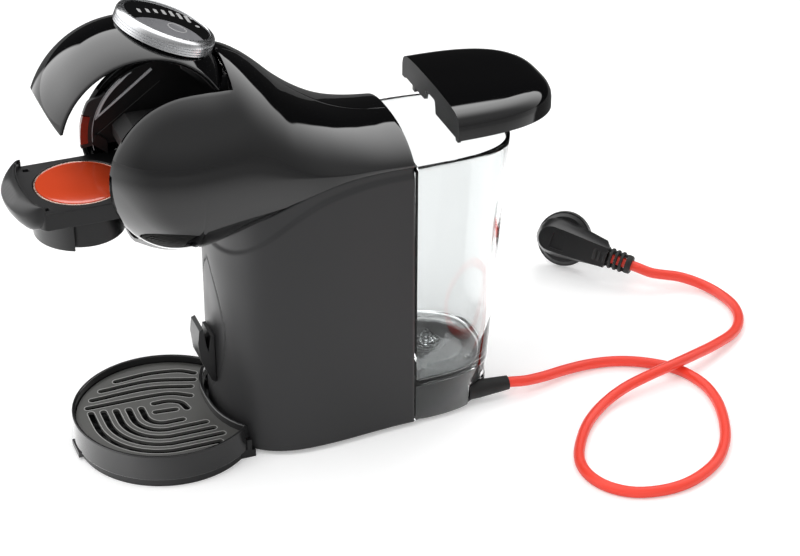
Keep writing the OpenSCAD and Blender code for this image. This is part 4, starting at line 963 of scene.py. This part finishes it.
def perforated(outline, holes, low, high, place):
    """A flat plate with holes: filled top and underside, and walls round every outline."""
    made = bmesh.new()
    loops = []
    for loop in [outline] + holes:
        verts = [made.verts.new((x, y, 0)) for x, y in loop]
        loops.append((verts, [made.edges.new(pair) for pair in zip(verts, verts[1:] + verts[:1])]))
    bmesh.ops.triangle_fill(made, use_beauty=True, use_dissolve=False, edges=[e for _, edges in loops for e in edges])
    made.verts.index_update()
    flat = [tuple(v.co) for v in made.verts]
    count = len(flat)
    points = [place(x, y, z) for z in (high, low) for x, y, _ in flat]
    faces = [[v.index for v in f.verts] for f in made.faces]
    faces += [[i + count for i in f][::-1] for f in faces]
    for verts, _ in loops:
        for a, b in zip(verts, verts[1:] + verts[:1]):
            faces.append([a.index, b.index, b.index + count, a.index + count])
    made.free()
    return points, faces


class COFFEE_OT_grid(Operator):
    """Builds the slotted drip grid and the pale strips round its slots, a painted highlight"""

    bl_idname = "coffee.grid"
    bl_label = "Drip Grid"

    def execute(self, context):
        s = settings().tray
        half = s.slot / MM / 2
        outline = tray_outline(TRAY_R - RIM_GAP, NOSE_GAP)
        at = standing_at(0, TRAY_Y)
        parts = [perforated(outline, grid_slots(half), GRID_LOW, GRID_TOP, at)]
        leg = [(0.4, 8.0), (1.6, 8.0), (1.8, 8.3), (1.8, 16.9), (0.4, 16.9)]
        for turn in map(math.radians, LEG_TURNS):
            foot = standing_at(LEG_R * math.cos(turn), TRAY_Y + LEG_R * math.sin(turn))
            parts.append(turned(leg, 20, foot, hub=True))
        grid = piece("grid_plate", *together(*parts), "grid", "dark_grey", ["tray_grid"], crease=30)
        soften(grid, 0.35, 2, 50)
        # Pale strips round every slot: painted highlight standing in for the light on the slots' chamfers.
        rims = zip(grid_slots(half + 0.62), grid_slots(half + 0.2))
        highlights = [perforated(outer, [inner], HIGHLIGHT_LOW, HIGHLIGHT_TOP, at) for outer, inner in rims]
        piece("grid_slot_highlights", *together(*highlights), "grid", "dark_grey", (), finish="grid_painted_highlight")
        return {"FINISHED"}


# ---- the tank, its seat and its lid ----

TANK_Z = 184.8


def tail(z, d, y0, n=36, front=16, corner=0.0):
    """D-shaped outline of the tank at height z, inset by d, with its flat front at y0."""
    t = z / TANK_Z
    w, length, e = mix(44.5, 46.5, t) - d, mix(60, 73, t) - (y0 - SEAM_Y) - d, corner or mix(2.8, 3.3, t)
    arc = []
    for k in range(n + 1):
        q = math.pi / 2 * k / n
        arc.append((w * max(0.0, math.cos(q)) ** (2 / e), y0 + length * math.sin(q) ** (2 / e)))
    loop = arc + [(-x, y) for x, y in arc[-2::-1]]
    return loop + [(mix(-w, w, k / front), y0) for k in range(1, front)]


def raised_loop(loop, z):
    """A flat outline lifted to a height, which may change with the place."""
    return [[x, y, z(x, y) if callable(z) else z] for x, y in loop]


def cord_arch(low, high):
    """Height of the skirt's lower edge: it arches over the lead at the rear."""
    return lambda x, y: mix(low, high, ease((9.5 - abs(x - CORD[0][0])) / 3)) if y > 112 else low


TANK_FRONT = SEAM_Y + 0.3
TANK_FLOOR, FLOOR_TOP = 28.0, 30.2
WALL_ROWS = (60, 95, 130, 165, 180, 184.3)
VALVE_Y = 99.0


def tank_row(z, inset, setback=None, height=None):
    """Loop of the tank's outline at z, with its own inset, setback of the front, and height."""
    setback = inset if setback is None else setback
    return raised_loop(tail(z, inset, TANK_FRONT + setback), z if height is None else height)


class COFFEE_OT_tank(Operator):
    """Builds the clear tank with its skirt, and the dark seat inside it"""

    bl_idname = "coffee.tank"
    bl_label = "Water Tank"

    def execute(self, context):
        s = settings().tank
        wall, skirt = s.wall / MM, s.skirt / MM
        under = cord_arch(3.0, 17.0)
        # Inside of the skirt, down to its arched edge.
        loops = [tank_row(TANK_FLOOR, skirt + 3), tank_row(TANK_FLOOR, skirt, height=27.9)]
        loops += [tank_row(18.0, skirt), tank_row(3, skirt, height=cord_arch(3.3, 17.2))]
        loops += [tank_row(3, skirt - 0.4, 1.2, under), tank_row(3, 0.4, height=under)]
        # Outside, up to the rim.
        loops += [tank_row(3, 0.0, height=cord_arch(3.4, 17.4)), tank_row(18.0, 0.0)]
        loops += [tank_row(z, 0.0) for z in (TANK_FLOOR, 29.2) + WALL_ROWS]
        loops += [tank_row(TANK_Z, 0.5), tank_row(TANK_Z, wall - 0.5)]
        # Inside, down to the floor.
        loops += [tank_row(z, wall) for z in WALL_ROWS[::-1] + (33.5,)]
        loops += [tank_row(31, wall + 0.8, height=31.2), tank_row(FLOOR_TOP, wall + 3)]
        loops.append(tank_row(FLOOR_TOP, 20, 14))
        piece("clear_tank", *loft(loops), "tank", "clear_tank", ["tank_shell"], crease=50)

        inset = skirt + 0.5
        rows = [(2.0, inset + 0.8), (2.8, inset), (18, inset), (26.2, inset)]
        rows += [(27.2, inset + 0.5), (27.6, inset + 1.6), (27.6, 12)]
        seat = loft([tank_row(z, d) for z, d in rows])
        piece("seat_block", *seat, "machine", "satin_black", ["tank_seat"], crease=50, finish="drawer_black")

        at = standing_at(0, VALVE_Y)
        section = ((-0.5, 27.4), (-0.5, 27.8), (-0.2, 27.95), (0.2, 27.95), (0.5, 27.8), (0.5, 27.4))
        rings = [turned([(r + d, z) for d, z in section], 64, at) for r in (5.0, 8.2, 11.6)]
        piece("seat_rings", *together(*rings), "machine", "dark_grey", (), finish="grey_lacquer")

        cage = [turned([(6.6, 30.1), (6.6, 31.6), (6.9, 31.9), (7.5, 31.9), (7.8, 31.6), (7.8, 30.1)], 64, at)]
        knob = [(0.4, 31.0), (0.5, 31.3), (1.4, 31.25), (2.1, 30.7), (2.2, 30.1)]
        cage.append(turned(knob, 24, standing_at(27, 117), hub=True))
        piece("tank_ribs", *together(*cage), "tank", "clear_tank")
        return {"FINISHED"}


# Lid section: share of the outline against height, in millimetres.
LID_ROWS = [
    (1.0, 0.0), (1.0, 6.0), (0.995, 8.6), (0.98, 11.2), (0.955, 13.2), (0.92, 14.7),
    (0.87, 15.8), (0.8, 16.5), (0.65, 17.2), (0.45, 17.7), (0.22, 18.0), (0.02, 18.0),
]
LID_HEIGHT, LID_BACK, LID_UP = 18, 27, 13.3


class COFFEE_OT_lid(Operator):
    """Builds the tank's gloss lid with its cut front wall"""

    bl_idname = "coffee.lid"
    bl_label = "Tank Lid"

    def execute(self, context):
        wall = settings().tank.wall / MM
        front, low = TANK_FRONT + LID_BACK, TANK_Z + LID_UP

        def plan(inset, y0):
            """The lid's outline, carried back from the tank's."""
            outline = tail(TANK_Z, inset, y0, n=48, front=60, corner=2.85)
            return [(x, y + LID_BACK) for x, y in outline]

        base, inner = plan(-1, TANK_FRONT), plan(wall - 1, TANK_FRONT + wall)

        def foot(x, y):
            """Rise of the lower edge: a notch in the middle of the front, and a shallow step towards -x."""
            if y > front + 0.1:
                return 0.0
            return 7.2 * ease((9.5 - abs(x)) / 2.0) + 1.3 * ease((43 - abs(x)) / 2) * (0 if x > 9 else 1)

        rises = [foot(x, y) for x, y in base]

        def row(outline, share, z, k):
            """Loop of the lid, drawn in towards its front and clear of the lower edge."""
            heights = [low + (rise if k == 0 else max(z, rise + 0.5 * k)) for rise in rises]
            return [[x * share, front + (y - front) * share, h] for (x, y), h in zip(outline, heights)]

        inside = [row(inner, share, z * (LID_HEIGHT - wall) / LID_HEIGHT, k) for k, (share, z) in enumerate(LID_ROWS)]
        outside = [row(base, share, z, k) for k, (share, z) in enumerate(LID_ROWS)]
        points = loft(inside[::-1] + outside)
        cover = piece("lid_cover", *points, "lid", "gloss_black", ["lid_shell"], crease=42)
        # The cut front and the inside keep the tool's dull tooth.
        cover.data.materials.append(finishes["matte_black"])
        inner_faces = len(base) * (len(LID_ROWS) - 1)
        for face in cover.data.polygons:
            face.material_index = int(face.center.y < (front + 0.05) * MM or face.index < inner_faces)
        return {"FINISHED"}


# ---- trims inside the head ----


def on_cheek(r, a):
    """Depth and height of a place on the head's side wall: a is round from the top to the front."""
    return HEAD_Y - r * math.sin(math.radians(a)), HEAD_Z + r * math.cos(math.radians(a))


def across(outline, x0, x1):
    """A flat piece standing in the head's side plane, from x0 to x1."""
    return loft([[[x, y, z] for y, z in outline] for x in (x0, x1)])


# Radius of the V's curved arm, the far end of its straight arm, and its faces across.
V_R, V_END, V_IN, V_OUT = 43.2, (-64.4, 239.6), 28.75, 29.58
STRIP_HALF, WINDOW_R, RIB_HEIGHT = 0.8, 43.75, 0.35


class COFFEE_OT_trims(Operator):
    """Builds the bright V of each side wall and the frame round the lamp window"""

    bl_idname = "coffee.trims"
    bl_label = "Head Trims"

    def execute(self, context):
        parts = []
        for side in (-1, 1):
            outer = [on_cheek(V_R, a) for a in steps(24, 72.6, 30)]
            inner = [on_cheek(mix(43.0, 41.7, ease((a - 24) / 14)), a) for a in steps(71.0, 24.4, 30)]
            tip = on_cheek(V_R, 73.5)
            dy, dz = V_END[0] - tip[0], V_END[1] - tip[1]
            span = math.hypot(dy, dz)
            ny, nz = -dz / span * STRIP_HALF, dy / span * STRIP_HALF
            strip = [
                (tip[0] - ny * 0.2, tip[1] - nz * 0.2),
                (V_END[0] - ny, V_END[1] - nz),
                (V_END[0] + ny, V_END[1] + nz),
                (tip[0] + ny + dy * 0.03, tip[1] + nz + dz * 0.03),
            ]
            parts += [across(outline, side * V_IN, side * V_OUT) for outline in (outer + inner, strip)]
        bright = piece("bright_v", *together(*parts), "machine", "silver_trim", ["silver_inlay"], crease=30)
        soften(bright, 0.15, 2, 30)

        # Frame that carries the lamp window, outside the far side wall.
        parts = []
        for a0, a1, r1 in ((50, 71.2, 51.0), (71.2, 93.6, 46.2), (93.6, 96, 51.0)):
            n = max(2, int((a1 - a0) * 1.2))
            outer = [on_cheek(mix(WINDOW_R + 1, r1, ease((a - 51) / 12)), a) for a in steps(a0, a1, n)]
            inner = [on_cheek(WINDOW_R, a) for a in steps(a1, a0, n)]
            parts.append(across(outer + inner, -32.2, -29.2))
        frame_parts = together(*parts)
        surround = piece("window_frame", *frame_parts, "machine", "dark_grey", (), crease=30, finish="satin_black")
        soften(surround, 0.3, 2, 30)

        # Fine pale strip along the side wall's front edge: a painted highlight where the edge catches the light.
        outline = [on_cheek(r, a) for r, ends in ((43.9, (34, 100)), (43.55, (100, 34))) for a in steps(*ends, 50)]
        piece("edge_highlight", *across(outline, -29.45, -29.1), "machine", "silver_trim", (), crease=30)

        # Parting line of each side wall: a fine raised rib that runs up and back.
        (y0, z0), (y1, z1) = (-101.0, 201.2), (-59.7, 230.5)
        outline = [(y0, z0), (y1, z1), (y1, z1 + RIB_HEIGHT), (y0, z0 + RIB_HEIGHT)]
        parts = [across(outline, side * 29.2, side * 29.6) for side in (-1, 1)]
        piece("wall_rib", *together(*parts), "machine", "dark_grey", (), crease=30)
        return {"FINISHED"}


# ---- the drawer's grip and the foil ----


GRIP_HALF, BLADE_HALF, CREST_Y, CREST_DIP = 30.8, 30.7, -146.4, 8
# Section of the grip: height, share of its width, and share of its reach to the front.
GRIP_ROWS = [
    (177.2, 0.80, 0.30), (177.9, 0.86, 0.48), (179.6, 0.93, 0.68), (182, 0.975, 0.84),
    (184.4, 0.995, 0.93), (186.2, 1.0, 0.96), (187.0, 1.0, 0.94), (188.6, 1.0, 0.86),
    (190.2, 1.0, 0.74), (191.6, 1.0, 0.58), (192.8, 1.0, 0.38), (193.5, 1.0, 0.2), (193.7, 1.0, 0.08),
]
GRIP_REACH, FINGER_DIP, RIB_DEPTH, RIB_PITCH = 10.2, 1.3, 0.35, 3.4
CAPSULE_Y = -118.8
FOIL = [
    (0.4, 188.42), (26.3, 188.42), (26.42, 188.55), (26.35, 188.72), (25.9, 188.8), (25.5, 188.72),
    (25.2, 188.62), (24.4, 188.76), (22, 188.98), (18, 189.28), (14, 189.5), (10, 189.6),
    (5, 189.64), (0.4, 189.65),
]
FOIL_RIM = [(25.7, 188.72), (25.8, 188.86), (26.2, 188.92), (26.65, 188.82), (26.75, 188.6), (26.5, 188.42)]


def grip_loop(z, wide, long):
    """Loop of the grip at a height: its ribbed front with the finger's dip, then its curved back."""
    w, a0 = GRIP_HALF * wide, math.acos(wide)
    y = CREST_Y - CREST_DIP * math.sin(a0) - 1.2
    reach = CREST_DIP * (1 - math.sin(a0)) + GRIP_REACH * long - 1.2
    dip = FINGER_DIP * ease((z - 187.0) / 2.0) * ease((193.2 - z) / 1.5)
    front = []
    for k in range(61):
        q = -math.pi + math.pi * k / 60
        x = w * math.cos(q)
        rib = RIB_DEPTH * dip / FINGER_DIP * max(0.0, 1 - (x / 9.0) ** 2) * math.cos(x * 2 * math.pi / RIB_PITCH)
        front.append([x, y + reach * math.sin(q) + dip * max(0.0, 1 - (x / 13.0) ** 2) - rib, z])
    turns = [mix(math.pi - a0, a0, k / 60) for k in range(61)]
    back = [[GRIP_HALF * math.cos(q), CREST_Y - CREST_DIP * math.sin(q), z] for q in turns]
    return front + back[::-1]


class COFFEE_OT_drawer(Operator):
    """Builds the rounded finger grip with its ribs and the raised crest behind it"""

    bl_idname = "coffee.drawer"
    bl_label = "Capsule Drawer"

    def execute(self, context):
        loops = [grip_loop(*row) for row in GRIP_ROWS]
        own = {"crease": 45, "finish": "drawer_black"}
        grip = piece("finger_grip", *loft(loops), "drawer", "satin_black", ["drawer_grip"], **own)
        soften(grip, 0.6, 3, 45)

        # Crest: a thin blade that stands a little above the deck along the grip's rear edge.
        blade = []
        for k in range(49):
            q = mix(math.radians(172), math.radians(8), k / 48)
            x, y = BLADE_HALF * math.cos(q), -146.15 - CREST_DIP * math.sin(q)
            top = 190.3 + 3.2 * ease((math.sin(q) - 0.12) / 0.5) + (2.2 if k < 2 else 0.0)
            blade.append([[x, y, 188.6], [x, y, top], [x, y + 0.9, top], [x, y + 0.9, 188.6]])
        piece("crest_blade", *loft(blade), "drawer", "satin_black", (), finish="drawer_black")

        # Sealed foil: a domed lid with a rolled pale rim.
        at = standing_at(0, CAPSULE_Y)
        foil = turned(FOIL, 120, at, hub=True)
        piece("foil_lid", *foil, "capsule", "foil_orange", ["capsule_foil"])
        piece("foil_rim", *turned(FOIL_RIM, 120, at), "capsule", "foil_orange", (), finish="bare_foil")
        return {"FINISHED"}


# ---- the plug's strain relief ----


class COFFEE_OT_relief(Operator):
    """Builds the plug's ribbed strain relief, open between its ribs"""

    bl_idname = "coffee.relief"
    bl_label = "Strain Relief"

    def execute(self, context):
        def around(profile):
            """A turned solid about the lead's axis in the plug."""
            return turned(profile, 40, lambda x, y, z: list(on_plug(z, PLUG_AXIS + x, y)))

        neck, rib = 3.75, (5.2, 6.9, 7.2)
        parts = [around([(neck, 24.6), (7.0, 24.6), (7.2, 25.0), (7.2, 26.8), (6.9, 27.2), (neck, 27.2)])]
        for k in range(5):
            x = 29.3 + 3.9 * k
            inner, shoulder, outer = rib
            outline = [(inner, -0.95), (shoulder, -0.95), (outer, -0.6), (outer, 0.6), (shoulder, 0.95), (inner, 0.95)]
            parts.append(around([(r, x + d) for r, d in outline]))
        parts.append(around([(neck, 48.2), (6.4, 48.2), (6.6, 48.6), (6.3, 51.4), (5.7, 52.0), (neck, 52.0)]))
        corners = ((-1.9, -0.9), (1.9, -0.9), (1.9, 0.9), (-1.9, 0.9))
        for side in (-1, 1):
            rail = [[list(on_plug(x, PLUG_AXIS + dx, side * 5.0 + dz)) for dx, dz in corners] for x in (25.5, 49.5)]
            parts.append(loft(rail))
        piece("strain_relief", *together(*parts), "machine", "rubber_black", ["plug_relief"], crease=40)
        return {"FINISHED"}


# ---- camera, light and floor ----


class COFFEE_OT_camera(Operator):
    """Places the camera"""

    bl_idname = "coffee.camera"
    bl_label = "Camera"

    def execute(self, context):
        s = settings().camera
        a, e = s.azimuth, s.elevation
        back = Vector((math.sin(a) * math.cos(e), -math.cos(a) * math.cos(e), math.sin(e)))
        data = bpy.data.cameras.new("camera")
        data.lens = s.lens
        data.sensor_fit = "HORIZONTAL"
        data.sensor_width = 36
        data.clip_start, data.clip_end = 0.01, 100
        made = bpy.data.objects.new("camera", data)
        made.location = Vector((s.target_x, s.target_y, s.target_z)) + back * s.distance
        made.rotation_mode = "QUATERNION"
        made.rotation_quaternion = (-back).to_track_quat("-Z", "Y")
        bpy.context.scene.collection.objects.link(made)
        bpy.context.scene.camera = made
        return {"FINISHED"}


def softbox(name, place, aim, width, height, power):
    """A rectangular studio lamp that mirrors don't show."""
    data = bpy.data.lights.new(name, "AREA")
    data.shape = "RECTANGLE"
    data.size, data.size_y = width, height
    data.energy = power
    made = bpy.data.objects.new(name, data)
    made.location = place
    made.rotation_mode = "QUATERNION"
    made.rotation_quaternion = (Vector(aim) - Vector(place)).to_track_quat("-Z", "Y")
    made.visible_glossy = False
    made.visible_camera = False
    bpy.context.scene.collection.objects.link(made)
    return made


# Ways towards the middle of the overhead and of the front softbox.
OVERHEAD, FRONT = (1.0, -0.35, 1.3), (0.38, -1.0, 0.0)


def lit_side(tree, way):
    """How far a direction lies inside the overhead or the front softbox; the edge of both is at 0."""
    sides = [
        add(tree, "ShaderNodeVectorMath", {0: way, 1: box}, operation="DOT_PRODUCT").outputs["Value"]
        for box in (OVERHEAD, FRONT)
    ]
    return add(tree, "ShaderNodeMath", dict(enumerate(sides)), operation="MAXIMUM").outputs[0]


def faded(tree, value, near, far, start, end):
    """Maps a value that runs from near to far to a level that runs smoothly from start to end."""
    links = {"Value": value, "From Min": near, "From Max": far, "To Min": start, "To Max": end}
    return add(tree, "ShaderNodeMapRange", links, interpolation_type="SMOOTHSTEP").outputs["Result"]


def ray_kinds(tree):
    """Switches for the rays that see the plain background, for mirrored ones, and the light path itself."""
    path = add(tree, "ShaderNodeLightPath")
    straight, through = path.outputs["Is Camera Ray"], path.outputs["Is Transmission Ray"]
    seen = add(tree, "ShaderNodeMath", {0: straight, 1: through}, operation="MAXIMUM").outputs[0]
    depth = {0: path.outputs["Glossy Depth"], 1: 1.0}
    mirrored = add(tree, "ShaderNodeMath", depth, operation="MINIMUM").outputs[0]
    return seen, mirrored, path


# Levels of the world: for diffuse light, for what is seen, and between the softboxes.
ROOM_LEVEL, SEEN_LEVEL, DARK_LEVEL = 0.62, 1.0, 0.02
FLOOR_ROUGHNESS, FLOOR_LIFT, FLOOR_HALF = 0.9, 0.22, 8
# Lamps: name, place, point aimed at, width, height and power.
LAMPS = [
    ("key_lamp", (0.2, -0.9, 1.7), (0, 0.05, 0.1), 1.2, 1.2, 16),
    ("side_lamp", (1.5, -0.2, 0.9), (0, 0, 0.15), 1.0, 0.9, 8),
    ("back_lamp", (-0.9, 0.9, 1.3), (0, 0.1, 0.1), 1.0, 1.0, 8),
]


def light_world(tree):
    """Fills the world: white where it is seen, even for diffuse light, and softboxes in mirrors."""
    tree.nodes.clear()
    seen, mirrored, _ = ray_kinds(tree)
    way = add(tree, "ShaderNodeTexCoord").outputs["Generated"]
    apart = add(tree, "ShaderNodeSeparateXYZ", {0: way})
    # The softboxes have a crisp far edge, and fade towards the near side and the horizon.
    fade = faded(tree, apart.outputs["X"], 0.65, -0.45, 0.42, 2.6)
    low = faded(tree, apart.outputs["Z"], -0.1, 0.5, 0.62, 1.0)
    box = add(tree, "ShaderNodeMath", {0: fade, 1: low}, operation="MULTIPLY").outputs[0]
    links = {"Value": lit_side(tree, way), "From Min": -0.02, "From Max": 0.03, "To Min": DARK_LEVEL, "To Max": box}
    wall = add(tree, "ShaderNodeMapRange", links).outputs["Result"]
    plain = add(tree, "ShaderNodeMix", {0: seen, 2: ROOM_LEVEL, 3: SEEN_LEVEL}, data_type="FLOAT").outputs[0]
    level = add(tree, "ShaderNodeMix", {0: mirrored, 2: plain, 3: wall}, data_type="FLOAT").outputs[0]
    light = add(tree, "ShaderNodeBackground", {"Color": (1, 1, 1, 1), "Strength": level})
    add(tree, "ShaderNodeOutputWorld", {"Surface": light.outputs[0]})


def floor_finish():
    """Painted board: white to the eye, dull, and it keeps the shadow; mirrors see it with painted shade that dims it
    with distance, towards +x and away from the softboxes.
    """
    made, tree, shader = new_material("painted_board")
    shader.inputs["Roughness"].default_value = FLOOR_ROUGHNESS
    seen, mirrored, path = ray_kinds(tree)
    place = add(tree, "ShaderNodeTexCoord").outputs["Object"]
    far = add(tree, "ShaderNodeVectorMath", {0: place}, operation="LENGTH").outputs["Value"]
    way = add(tree, "ShaderNodeVectorMath", {0: place}, operation="NORMALIZE").outputs["Vector"]
    apart = add(tree, "ShaderNodeSeparateXYZ", {0: way})
    # Painted shade for mirrors: the floor's colour falls with distance, towards +x and outside the softboxes' ways.
    near = faded(tree, far, 0.12, 0.8, 1.7, 0.6)
    side = faded(tree, apart.outputs["X"], -0.1, 0.8, 1.0, 0.25)
    dim = add(tree, "ShaderNodeMath", {0: near, 1: side}, operation="MULTIPLY").outputs[0]
    shade = faded(tree, lit_side(tree, way), -0.05, 0.03, 0.03, dim)
    close = add(tree, "ShaderNodeMapRange", {"Value": far, "From Min": 0.25, "From Max": 0.5}).outputs["Result"]
    dim = add(tree, "ShaderNodeMix", {0: close, 2: dim, 3: shade}, data_type="FLOAT").outputs[0]
    shown = add(tree, "ShaderNodeMix", {0: mirrored, 2: 1.0, 3: dim}, data_type="FLOAT")
    shown.clamp_factor = True
    shown = shown.outputs[0]
    white = rgba(settings().finishes.floor)
    board = add(tree, "ShaderNodeMix", {0: shown, 6: (0, 0, 0, 1), 7: white}, data_type="RGBA")
    tree.links.new(board.outputs[2], shader.inputs["Base Color"])
    # Even glow for camera rays; in mirrors it follows the painted shade.
    bright = {0: seen, 1: path.outputs["Is Glossy Ray"]}
    bright = add(tree, "ShaderNodeMath", bright, operation="MAXIMUM").outputs[0]
    lift = add(tree, "ShaderNodeMath", {0: bright, 1: FLOOR_LIFT}, operation="MULTIPLY").outputs[0]
    lift = add(tree, "ShaderNodeMath", {0: lift, 1: shown}, operation="MULTIPLY").outputs[0]
    shader.inputs["Emission Color"].default_value = (1, 1, 1, 1)
    tree.links.new(lift, shader.inputs["Emission Strength"])
    return made


class COFFEE_OT_stage(Operator):
    """Builds the pale floor, the soft studio light and the white surroundings"""

    bl_idname = "coffee.stage"
    bl_label = "Studio"

    def execute(self, context):
        scene = bpy.context.scene
        scene.view_settings.view_transform = "Standard"
        world = scene.world or bpy.data.worlds.new("studio")
        scene.world = world
        world.use_nodes = True
        light_world(world.node_tree)

        r = FLOOR_HALF
        mesh = bpy.data.meshes.new("floor")
        mesh.from_pydata([(-r, -r, 0), (r, -r, 0), (r, r, 0), (-r, r, 0)], [], [(0, 1, 2, 3)])
        floor = bpy.data.objects.new("floor", mesh)
        scene.collection.objects.link(floor)
        mesh.materials.append(floor_finish())
        for lamp in LAMPS:
            softbox(*lamp)
        return {"FINISHED"}


class COFFEE_OT_finishes(Operator):
    """Makes the finishes and gives them to the fixed model"""

    bl_idname = "coffee.finishes"
    bl_label = "Finishes"

    def execute(self, context):
        make_finishes()
        dress_nodes()
        return {"FINISHED"}


# ---- the add-on's own frame ----


class PodMachine(PropertyGroup):
    camera: PointerProperty(type=CameraSizes)
    cover: PointerProperty(type=CoverSizes)
    lever: PointerProperty(type=LeverSizes)
    dial: PointerProperty(type=DialSizes)
    tray: PointerProperty(type=TraySizes)
    tank: PointerProperty(type=TankSizes)
    cord: PointerProperty(type=CordSizes)
    finishes: PointerProperty(type=Finishes)


ORDER = [
    COFFEE_OT_camera, COFFEE_OT_finishes, COFFEE_OT_cord, COFFEE_OT_relief, COFFEE_OT_covers,
    COFFEE_OT_column, COFFEE_OT_lever, COFFEE_OT_dial, COFFEE_OT_trims, COFFEE_OT_drawer,
    COFFEE_OT_grid, COFFEE_OT_tank, COFFEE_OT_lid, COFFEE_OT_stage,
]


class COFFEE_PT_panel(Panel):
    bl_label = "Pod Coffee Machine"
    bl_space_type = "VIEW_3D"
    bl_region_type = "UI"
    bl_category = "Coffee Machine"

    def draw(self, context):
        for operator in ORDER:
            self.layout.operator(operator.bl_idname)


CLASSES = [
    CameraSizes, CoverSizes, LeverSizes, DialSizes, TraySizes, TankSizes, CordSizes, Finishes,
    PodMachine, *ORDER, COFFEE_PT_panel,
]


def register():
    for made in CLASSES:
        bpy.utils.register_class(made)
    bpy.types.Scene.pod_machine = PointerProperty(type=PodMachine)


def unregister():
    del bpy.types.Scene.pod_machine
    for made in reversed(CLASSES):
        bpy.utils.unregister_class(made)


def main():
    register()
    for operator in ORDER:
        group, name = operator.bl_idname.split(".")
        if getattr(getattr(bpy.ops, group), name)() != {"FINISHED"}:
            raise RuntimeError(operator.bl_idname)


if __name__ == "__main__":
    main()
